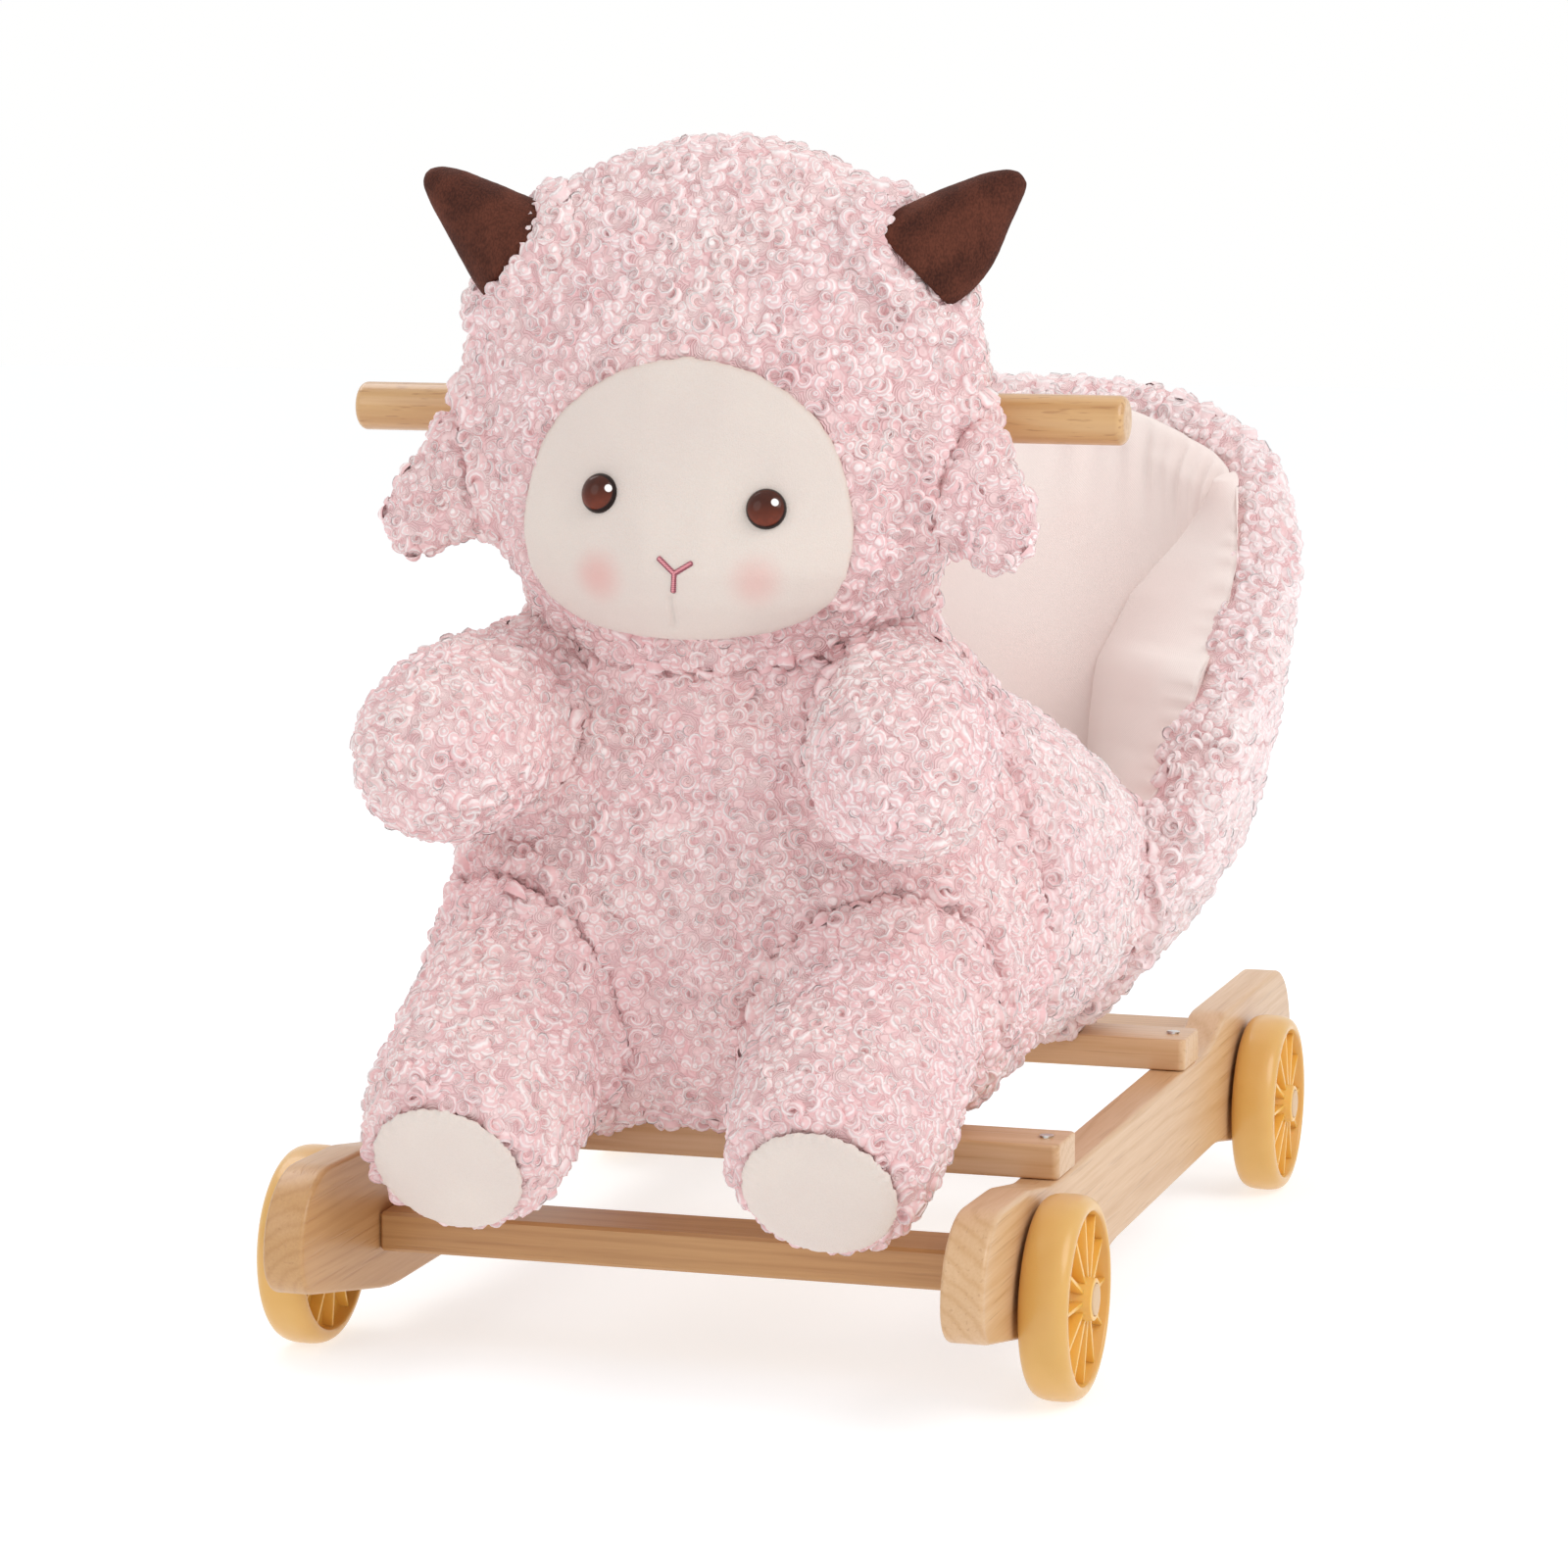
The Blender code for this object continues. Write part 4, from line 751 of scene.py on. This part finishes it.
# %% Pink pile
pink = Finish("pink_pile", roughness=0.9, specular_ior_level=0.08)
across, high, tint = pink.kept("across"), pink.kept("high"), pink.kept("tint")
drift = pink.noise(26).within(0.3, 0.7)
clump = pink.noise(70, 1.0).within(0.35, 0.65)
waver = pink.noise(300, 1.0)
strands = ((across * 8.5 + waver * 4.0 + tint * 6.0).sine() * 0.5 + 0.5) ** 1.5
light = pink.mix(drift, shade(255, 244, 242), shade(255, 240, 240))
dark = pink.mix(drift, shade(243, 207, 206), shade(241, 199, 201))
# Strand crests and lock crowns are painted lighter: painted highlights over the strands' own
# stripes; tint and clump are the pile's own random tone.
tone = strands * 0.72 + high * 0.10 + tint * 0.09 + clump * 0.09
coat = pink.mix(tone.within(0.0, 0.85), dark, light)
# The foot of each lock is painted darker than its crown: painted shade where the locks crowd
# together.
coat = pink.mix((1 - high.within(0.0, 0.4)) * 0.38, coat, shade(230, 178, 180))
# Painted light: the seat shell, the saddle and every part above a height are painted paler, where
# the lamps fall strongest.
coat = pink.mix(pink.kept("fade"), coat, shade(255, 248, 248))
# Darker near neighbouring bodies: painted shade in the creases between them.
coat = pink.mix((1 - pink.kept("crease")) * 0.30, coat, shade(230, 180, 181))
pink_pile = pink.paint(coat, 0.9, strands, 0.00045)

# %% The ground cloth, curled in the same way
cloth = Finish("pink_ground", roughness=0.95, specular_ior_level=0.08)
wander = cloth.noise(150)
curls = cloth.node("TexVoronoi", {"Vector": cloth.place(), "Scale": 125.0}, out="Distance",
                   feature='F1')
arcs = (curls * 44.0 + wander * 14.0).sine() * 0.5 + 0.5
# Darker towards each curl cell's edge, where the curls part: painted shade in the gaps. The
# lighter arcs are partly the strands' own stripes and partly painted highlights.
deep = cloth.mix(curls.within(0.2, 0.75), shade(246, 216, 215), shade(234, 188, 190))
ground_tone = cloth.mix(arcs * 0.5, deep, shade(250, 226, 225))
swell = arcs * 0.25 - curls
pink_ground = cloth.paint(ground_tone, 0.95, swell, 0.0016)

# %% What the bodies are, and two ways to fill them out
plush = {  # voxel, rounds of smoothing, inset, fill
    "torso": (0.0045, 8, 0.0010, 0.9),
    "head": (0.0045, 8, 0.0000, 0.9),
    "saddle": (0.0050, 8, 0.0010, 0.9),
    "seat_shell": (0.0045, 8, 0.0005, 0.8),
}
for limb, form in (("arm", (0.0035, 8, 0.0022, 0.8)), ("leg", (0.0035, 8, 0.0020, 0.8)),
                   ("ear", (0.0022, 6, 0.0010, 0.5))):
    plush.update({f"{limb}_{side}": form for side, _ in sides})


def lean(body, node):
    """Swell a body where a soft neighbour is near, so that no slit is left between them."""
    gap = gap_to(body, [name for name in (*plush, "horn_left", "horn_right") if name != node])
    share = ramp(gap, 0.018, -0.011)
    move(body, positions(body) + normals(body) * (share * (gap * 0.58 + 0.0028))[:, None])


def widen(points):
    """Spread the upper corners of the backrest, where the real one is fuller."""
    up = ramp(points[:, 2], 0.27, 0.07)
    out = ramp(np.abs(points[:, 0]), 0.08, 0.07)
    shift = 0.0065 * up * up * (3 - 2 * up) * out
    return points + np.column_stack((np.sign(points[:, 0]) * shift, shift * 0, shift * 0.3))

# %% Make the pink bodies
through = ("horn_left", "horn_right", "handlebar", "handle_post")
bodies = {}
for node, (voxel, rounds, inset, _) in plush.items():
    body = stuffed(node + "_cloth", node, voxel, rounds, inset)
    gap = gap_to(body, [name for name in nodes if name not in (node, *through)]) - inset
    lean(body, node)
    tag(body, "pile", gap > 0.0006)
    # The same distance grows longer locks in the creases and paints shade into them.
    tag(body, "crease", ramp(gap, 0.001, 0.014))
    # Painted light: the seat shell and the saddle are painted paler, and every body more so above
    # a height.
    painted_light_share = {"seat_shell": 0.42, "saddle": 0.20}.get(node, 0.0)
    tag(body, "fade", painted_light_share + 0.20 * ramp(positions(body)[:, 2], 0.42, 0.1))
    bodies[node] = body
move(bodies["seat_shell"], widen(positions(bodies["seat_shell"])))
print("bodies:", {name: len(body.data.polygons) for name, body in bodies.items()})

# %% [markdown]
# ## The lining
#
# Inside the shell the coat stops at a seam along the rim, and a smooth woven lining takes over:
# a back panel, and on each side a wing pad that lies over the panel's edge with a crisp fold.
# The wall they follow is the shell's own inner face, so it is written down once as a function
# of the angle round the seat and the height.

# %% The inner wall of the shell
well_floor, well_middle = 0.1033, 0.094  # height of the well's floor and y of its middle
wall_spread = np.array((  # level above the floor, half width, reach to the back
    (0.000, 0.1018, 0.0652), (0.016, 0.1210, 0.0693), (0.044, 0.1485, 0.0782),
    (0.088, 0.1792, 0.0937), (0.158, 0.1950, 0.1174), (0.227, 0.1980, 0.1418),
    (0.277, 0.1964, 0.1581), (0.315, 0.1891, 0.1630)))
wall_rim = np.array((  # degrees from straight back, level of the rim
    (0, 0.315), (25, 0.310), (40, 0.298), (52, 0.285), (65, 0.269), (75, 0.232), (90, 0.189),
    (105, 0.137), (118, 0.113)))


def wall(degrees, level, inside):
    """Points at an angle from straight back and a height, a depth inside the outer face."""
    angle = np.radians(degrees)
    half_width = np.interp(level, wall_spread[:, 0], wall_spread[:, 1]) - inside
    reach = np.interp(level, wall_spread[:, 0], wall_spread[:, 2]) - inside
    x = half_width * np.sign(angle) * np.abs(np.sin(angle)) ** 0.6
    y = reach * np.sign(np.cos(angle)) * np.abs(np.cos(angle)) ** 0.6 + well_middle
    return np.column_stack((x, y, level + well_floor))


def rim_at(level):
    """Degrees at which the rim stands at a level."""
    return np.interp(-level, -wall_rim[:, 1], wall_rim[:, 0])

# %% A pad bent from a grid
def pad_from(name, columns, rows, shape):
    """A closed pad: the first half of a grid is its face, and the rest folds round behind."""
    pad = primitive("grid", name, x_subdivisions=columns * 2, y_subdivisions=rows, size=2)
    flat = positions(pad)
    turn = flat[:, 0] + 1
    across = np.where(turn <= 1, turn, 2 - turn)
    across = (1 - np.cos(np.pi * across)) / 2
    up = (1 - np.cos(np.pi * (flat[:, 1] + 1) / 2)) / 2
    face, back = shape(across, up)
    move(pad, widen(np.where((turn <= 1)[:, None], face, back)))
    edit(pad, (bpy.ops.mesh.remove_doubles, {"threshold": 0.00005}), outwards)
    bpy.ops.object.shade_smooth()
    return pad

# %% The back pad's shape
pad_foot, pad_depth, half_angle = 0.085, 0.0345, 67


def back_shape(across, up):
    """The back pad: full in the middle, with upright creases below the seam under the rim."""
    degrees = (across * 2 - 1) * half_angle
    top = np.interp(np.abs(degrees), wall_rim[:, 0], wall_rim[:, 1])
    top -= 0.004 + 0.009 * ramp(np.abs(degrees), 62, -20)
    level = pad_foot + (top - pad_foot) * up
    below = (1 - up) * (top - pad_foot)
    edge = np.sqrt(ramp(below, 0, 0.016) * ramp(up, 0, 0.05))
    side = np.sqrt(ramp(np.abs(degrees), half_angle, -4))
    puff = 0.0075 + 0.027 * np.exp(-(degrees / 17) ** 2) * np.sin(np.pi * up ** 1.2) ** 0.5
    hang = np.clip(1 - below / 0.060, 0, 1) ** 1.2
    creases = np.sin(degrees * 1.1 + 2.0 * up) + 0.9 * np.sin(degrees * 0.61 + 1.3 + 3 * up)
    soft = 0.0008 * np.sin(degrees * 0.16 + 7 * up)
    out = (puff + 0.0013 * creases * hang + soft) * edge * side
    return wall(degrees, level, pad_depth + out), wall(degrees, level, pad_depth)

# %% The wing pads' shape
wing_top = 0.268
fold_line = np.array((  # level, degrees at which the wing folds on to the back pad
    (0.085, 29), (0.126, 27.7), (0.143, 26.1), (0.160, 25.1), (0.173, 25.6), (0.186, 28.2),
    (0.207, 32.9), (0.223, 40.6), (0.245, 54.7), (0.264, 66)))


def wing_shape(sign):
    """A corner pad: taut from a fold on the back panel to the rim at the side."""
    def shape(across, up):
        level = pad_foot + (wing_top - pad_foot) * up
        first = np.interp(level, fold_line[:, 0], fold_line[:, 1])
        last = rim_at(level)
        fold = wall(first, level, pad_depth + 0.0115)
        tucked = ramp(level, 0.115, 0.03) * ramp(level, 0.262, -0.03)
        rim = wall(last - 2.0 * tucked, level, 0.0292 + 0.0030 * tucked)
        chord = rim - fold
        length = np.linalg.norm(chord, axis=1)
        inward = np.column_stack((-chord[:, 1], chord[:, 0], chord[:, 2] * 0))
        inward *= (-1 / np.maximum(np.linalg.norm(inward, axis=1), 1e-6))[:, None]
        inward[inward[:, 1] > 0] *= -1
        crown = 0.0050 * np.sin(np.pi * across) ** 0.8 * ramp(length, 0, 0.05)
        pucker = np.sin(level * 620 + np.sin(level * 190)) * ramp(across, 0.72, 0.28)
        crown += 0.0012 * pucker * ramp(length, 0, 0.03)
        taut = fold + chord * across[:, None] + inward * crown[:, None]
        base = wall(first + (last - 2.0 * tucked - first) * across, level, 0.0330)
        thick = np.sqrt(ramp(across * length, 0, 0.0025))
        thick *= np.sqrt(ramp((1 - across) * length, 0, 0.004))
        thick *= np.sqrt(ramp(up, 0, 0.05) * ramp(up, 1, -0.02))
        face = base + (taut - base) * thick[:, None]
        return face * (sign, 1, 1), base * (sign, 1, 1)
    return shape

# %% Cream lining cloth
lining = Finish("cream_lining", roughness=0.55, sheen_weight=0.3, sheen_roughness=0.35)
warp, weft = ((lining.along(axis) * 5200).sine() for axis in "ZX")
weave = warp * weft * 0.5 + 0.5
cloud = lining.noise(16).within(0.3, 0.7)
lining_tone = lining.mix(cloud, shade(244, 232, 226), shade(243, 227, 221))
cream_lining = lining.paint(lining.mix(weave * 0.10, lining_tone, shade(222, 202, 196)),
                            0.5 + weave * 0.08, weave, 0.00006)

# %% Sew in the panels
linings = {"back_lining": pad_from("back_lining_pad", 200, 70, back_shape)}
for side, sign in sides:
    linings["wing_lining_" + side] = pad_from("wing_pad_" + side, 60, 110, wing_shape(sign))
for node, pad in linings.items():
    wear(pad, cream_lining, node)

# %% Keep the pile off what the lining covers
def bare_near(body, cover, distance, above=0.0):
    """Take the pile away from a body where a cover lies within a distance, or close above."""
    values = tagged(body, "pile")
    for i, (point, outward) in enumerate(zip(positions(body), normals(body))):
        point, outward = Vector(point), Vector(outward)
        if cover.find_nearest(point, distance)[3] is not None:
            values[i] = 0
        elif above and cover.ray_cast(point, outward, above)[3] is not None:
            values[i] = 0
    tag(body, "pile", values)

# %% Roll the rim over the pads' edge
def roll(points):
    """How much each point belongs to the roll over the pads' outer edge, from 0 to 1."""
    level = np.linspace(0.115, 0.272, 60)
    edge = wall(rim_at(level), level, 0.0300)
    strong = ramp(level, 0.115, 0.03) * ramp(level, 0.272, -0.035)
    mirrored = np.column_stack((np.abs(points[:, 0]), points[:, 1:]))
    away = np.linalg.norm(mirrored[:, None] - edge, axis=2)
    return (np.exp(-(away / 0.014) ** 2) * strong).max(axis=1)


roll_depth, covered_from = 0.0125, 0.25
shell = bodies["seat_shell"]
points = positions(shell)
share = roll(points)
points[:, 0] -= np.sign(points[:, 0]) * roll_depth * share
move(shell, points)
tag(shell, "pile", np.maximum(tagged(shell, "pile"), share > covered_from))
bare_near(shell, surface_of(linings.values()), 0.0012, 0.012)
print("rolled over the pads:", int((share > covered_from).sum()), "points")

# %% [markdown]
# ## The face
#
# The face is a smooth short-nap panel, slightly crowned, with its edge tucked under the pile. A
# pixel of the photograph is turned into a ray from the camera, and where that ray meets the
# panel is where an eye, the nose or a cheek belongs.

# %% A ray through a pixel
half_picture, focal_length = 800, 5125  # in pixels


def seen_at(column, row, cover):
    """Place and outward direction where a pixel of the photograph meets a cover."""
    across, up = (column - half_picture) / focal_length, (half_picture - row) / focal_length
    reach = camera.rotation_euler.to_matrix() @ Vector((across, up, -1))
    return cover.ray_cast(camera.location, reach.normalized())[:2]

# %% The face panel
face = stuffed("face_cloth", "face_panel", 0.0015, 14, 0.0)
head_cover = surface_of([bodies["head"]])
face_foot, face_height = 0.3255, 0.122
fuller = np.array((  # share of the panel's height, how much wider it gets
    (0.0, 1.04), (0.08, 1.035), (0.2, 1.01), (0.33, 1.0), (0.45, 1.02), (0.6, 1.055),
    (0.72, 1.10), (0.85, 1.13), (1.0, 1.14)))


def over_head(point):
    """The nearest place on the head, its outward direction and the height above it."""
    foot, outward = head_cover.find_nearest(Vector(point))[:2]
    return foot, outward, (Vector(point) - foot).dot(outward)


points = positions(face)
share = ramp(points[:, 2], face_foot, face_height)
wider = points * 1
wider[:, 0] *= np.interp(share, fuller[:, 0], fuller[:, 1])
wider[:, 2] += -0.0018 * np.clip(1 - share * 4, 0, 1) + 0.0016 * np.clip(share * 4 - 3, 0, 1)
for i, (old, new) in enumerate(zip(points, wider)):
    foot, outward, _ = over_head(new)
    wider[i] = foot + outward * over_head(old)[2]
move(face, wider)
modify(face, 'SMOOTH', iterations=4)

# %% Mark the edge that sinks into the pile, where shade is painted along it
points = [Vector(point) for point in positions(face)]
wall_marks = [point for point in points if 0.0009 < over_head(point)[2] < 0.0016]
edge_tree = KDTree(len(wall_marks))
for i, point in enumerate(wall_marks):
    edge_tree.insert(point, i)
edge_tree.balance()
away = np.array([edge_tree.find(point)[2] for point in points])
tag(face, "rim", np.exp(-(away / 0.0016) ** 2))
print("the panel's edge passes", len(wall_marks), "of its", len(points), "points")

# %% Press in the chin seam and the brow line
face_cover = surface_of([face])


def groove(points, line, wide):
    """How near each point is to a line through pixels: 1 on it and 0 away from it."""
    marks = [np.array(seen_at(*pixel, face_cover)[0]) for pixel in line]
    away = np.full(len(points), 1.0)
    for start, end in zip(marks, marks[1:]):
        run = end - start
        share = np.clip(((points - start) @ run) / (run @ run), 0, 1)
        away = np.minimum(away, np.linalg.norm(points - start - share[:, None] * run, axis=1))
    return np.exp(-(away / wide) ** 2)


points = positions(face)
dent = 0.0015 * groove(points, ((685, 611), (686.5, 622), (688.5, 641)), 0.0010)
dent += 0.00022 * groove(points, ((655, 469), (705, 478), (755, 491)), 0.0016)
move(face, points - normals(face) * dent[:, None])

# %% Cream velour, with a blush on both cheeks
velour = Finish("cream_velour", roughness=0.8, sheen_weight=0.3, sheen_roughness=0.4,
                subsurface_weight=0.15, subsurface_scale=0.002,
                subsurface_radius=(1.0, 0.7, 0.6))
nap = velour.noise(1500)
cloud = velour.noise(20).within(0.3, 0.7)
cream = velour.mix(cloud, shade(230, 217, 208), shade(226, 212, 204))
cream = velour.mix(nap.within(0.35, 0.75) * 0.12, cream, shade(204, 188, 180))
for column, row, strong in ((609, 588, 0.58), (771, 594, 0.46)):
    cheek = seen_at(column, row, face_cover)[0]
    blush = 1 - velour.away_from(cheek).within(0.001, 0.0165)
    cream = velour.mix(blush * strong, cream, shade(228, 166, 160))
# A band along the panel's edge is painted darker: painted shade where the edge sinks under the
# pile.
cream = velour.mix(velour.kept("rim") * 0.6, cream, shade(196, 168, 152))
cream_velour = velour.paint(cream, 0.8, nap, 0.0002)
wear(face, cream_velour, "face_panel")
bare_near(bodies["head"], face_cover, 0.0014)

# %% [markdown]
# ## Eyes, nose and soles
#
# The eyes are glossy brown domes with a near-black rim. The nose is three satin-stitched bars
# that meet in a Y, each a dark bar with a lighter one on it, both under fine threads. The soles
# are smooth discs, gathered a little along their upper edge.

# %% An eye from half a ball
def set_at(spot, x, y, z):
    """Matrix that lays the local axes along three directions at a place."""
    return Matrix.Translation(spot) @ Matrix((x, y, z)).transposed().to_4x4()


def eye(name, column, row, wide, tall):
    """A dome on the face panel, cut from a ball."""
    spot, outward = seen_at(column, row, face_cover)
    dome = primitive("uv_sphere", name, segments=48, ring_count=32, radius=1)
    front = {"plane_co": (0, 0, -0.15), "plane_no": (0, 0, 1), "use_fill": True,
             "clear_inner": True}
    edit(dome, (bpy.ops.mesh.bisect, front))
    dome.data.transform(Matrix.Diagonal((wide, tall, 0.0060, 1)))
    across = Vector((0, 0, 1)).cross(outward).normalized()
    stood = set_at(spot + outward * 0.0002, across, outward.cross(across), outward)
    dome.data.transform(stood)
    bpy.ops.object.shade_smooth()
    return dome, spot, outward


def eye_finish(name, spot, outward, wide, glint):
    """Brown with a dark top, a red-brown foot, a near-black rim and a painted highlight."""
    finish = Finish(name, roughness=0.14, specular_ior_level=0.22)
    from_axis = finish.away_from(spot + outward * 0.003)
    height = finish.along("Z") - spot.z
    colour = finish.mix(height.within(-0.006, 0.005), shade(118, 54, 36), shade(66, 30, 20))
    cloud = finish.noise(350).within(0.35, 0.65)
    colour = finish.mix(cloud * 0.35, colour, shade(84, 38, 26))
    rim = from_axis.within(wide * 0.86, wide * 0.94)
    colour = finish.mix(rim, colour, shade(26, 12, 10))
    # A small white disc fixed on the dome: a painted highlight.
    painted_highlight = 1 - finish.away_from(glint).within(0.0015, 0.0019)
    return finish.paint(finish.mix(painted_highlight, colour, shade(252, 248, 246)))


for node, name, column, row, wide, tall, glint in (
        ("eye_right", "eye_dome_right", 612, 503.5, 0.0083, 0.0089, (620.8, 498)),
        ("eye_left", "eye_dome_left", 782, 519.6, 0.0089, 0.0090, (790.8, 512.5))):
    dome, spot, outward = eye(name, column, row, wide, tall)
    painted_highlight = seen_at(*glint, surface_of([dome]))[0]
    wear(dome, eye_finish(name + "_finish", spot, outward, wide, painted_highlight), node)

# %% The stitched nose
def stitched_bar(name, ends, wide, lift):
    """A rounded bar along the panel from one pixel to another, lifted off it."""
    first, outward = seen_at(*ends[0], face_cover)
    last, _ = seen_at(*ends[1], face_cover)
    run = last - first
    bar = primitive("cube", name, size=1)
    side = outward.cross(run).normalized()
    bar.data.transform(Matrix.Diagonal((run.length + wide * 0.7, wide, wide * 0.8, 1)))
    bevel(bar, wide * 0.38, 4)
    middle = (first + last) / 2 + outward * lift
    bar.data.transform(set_at(middle, run.normalized(), side, outward))
    bpy.ops.object.shade_smooth()
    return bar


def thread_finish(name, dark, light):
    """Satin stitches laid side by side, each a little apart in tone."""
    thread = Finish(name, roughness=0.5, sheen_weight=0.3)
    twist = (thread.noise(2400, 1.0) - 0.5) * 3.0
    threads = (thread.along("Z") * 7000 + twist).sine() * 0.5 + 0.5
    return thread.paint(thread.mix(threads, dark, light), 0.5, threads, 0.0002)


rose_edge = thread_finish("rose_edge", shade(122, 54, 70), shade(172, 88, 100))
rose_core = thread_finish("rose_core", shade(212, 120, 132), shade(242, 164, 172))
for name, ends in (("nose_stitch_right", ((672.5, 570), (687.5, 585))),
                   ("nose_stitch_left", ((705, 575), (688.5, 585))),
                   ("nose_stitch_down", ((688, 585), (687, 603.5)))):
    wear(stitched_bar(name, ends, 0.0025, 0.0), rose_edge)
    wear(stitched_bar(name + "_core", ends, 0.0011, 0.0008), rose_core)

# %% The soles
def sole(name, node):
    """A low dome with small gathers round its rim."""
    thing = stuffed(name, node, 0.0012, 6, -0.0004)
    points, facing = positions(thing), normals(thing)
    centre = points.mean(axis=0)
    outward = facing[np.argmin(np.abs(points - centre).sum(axis=1))]
    flat = (points - centre) - ((points - centre) @ outward)[:, None] * outward
    reach = np.linalg.norm(flat, axis=1)
    edge = ramp(reach / reach.max(), 0.74, 0.22)
    upward = np.array((0.0, 0.0, 1.0)) - outward * outward[2]
    side = np.cross(outward, upward)
    angle = np.arctan2(flat @ side, flat @ upward)
    gather = np.sin(angle * 34 + np.sin(angle * 5)) * edge * (0.35 + 0.65 * (np.cos(angle) > 0.2))
    move(thing, points + outward * (gather * 0.0004)[:, None])
    return thing


for side in ("left", "right"):
    disc = sole("sole_cloth_" + side, "sole_" + side)
    wear(disc, cream_velour, "sole_" + side)
    bare_near(bodies["leg_" + side], surface_of([disc]), 0.0026)

# %% [markdown]
# ## Horns
#
# The horns are two panels of dark brown velour sewn face to face and turned, so a seam runs
# round their edge. The nap lies in patches that catch the light differently.

# %% Brown velour
brown = Finish("brown_velour", roughness=0.9, specular_ior_level=0.2, sheen_weight=0.05,
               sheen_roughness=0.4, sheen_tint=shade(190, 120, 100))
patch = brown.noise(60, 2.0, 0.55)
hair = brown.noise(1300, vector=brown.stretched((1, 1, 0.5)))
nap_tone = patch.within(0.32, 0.68) * 0.50 + hair.within(0.3, 0.7) * 0.50
brown_velour = brown.paint(brown.mix(nap_tone, shade(54, 23, 14), shade(102, 54, 39)),
                           0.75, hair, 0.0003)

# %% Shape the horns
def tug(thing, pixel, steps, reach):
    """Pull a piece softly at a pixel, by steps to the right and up in the picture, in metres."""
    pull = np.array(camera.rotation_euler.to_matrix() @ Vector((*steps, 0)))
    spot = np.array(seen_at(*pixel, surface_of([thing]))[0])
    points = positions(thing)
    away = np.linalg.norm(points - spot, axis=1)
    move(thing, points + pull * np.exp(-(away / reach) ** 2)[:, None])


for side, *pulled in (("left", (984, 272), (0.0078, -0.0012), 0.026),
                      ("right", (547, 218), (0.0072, -0.0006), 0.016)):
    horn = stuffed("horn_cloth_" + side, "horn_" + side, 0.0016, 8, 0.0)
    tug(horn, *pulled)
    wear(horn, brown_velour, "horn_" + side)

# %% Grow and dress
spacings = {"seat_shell": 0.0044, "ear_left": 0.0034, "ear_right": 0.0034}
usual_spacing, size_per_spacing = 0.0040, 1 / 0.0039
counts = {"torso": 2, "head": 2, "saddle": 2, "seat_shell": 3}
for number, (node, (*_, fill)) in enumerate(plush.items()):
    body = bodies[node]
    apart = spacings.get(node, usual_spacing)
    grown = grow_pile(body, apart, apart * size_per_spacing, number * 10, counts.get(node, 1))
    wear(body, pink_ground, node)
    for pile in grown:
        wear(pile, pink_pile, node)

# %% Measure the dressed box and finish
low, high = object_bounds()
print("visual box:", tuple(low), tuple(high))
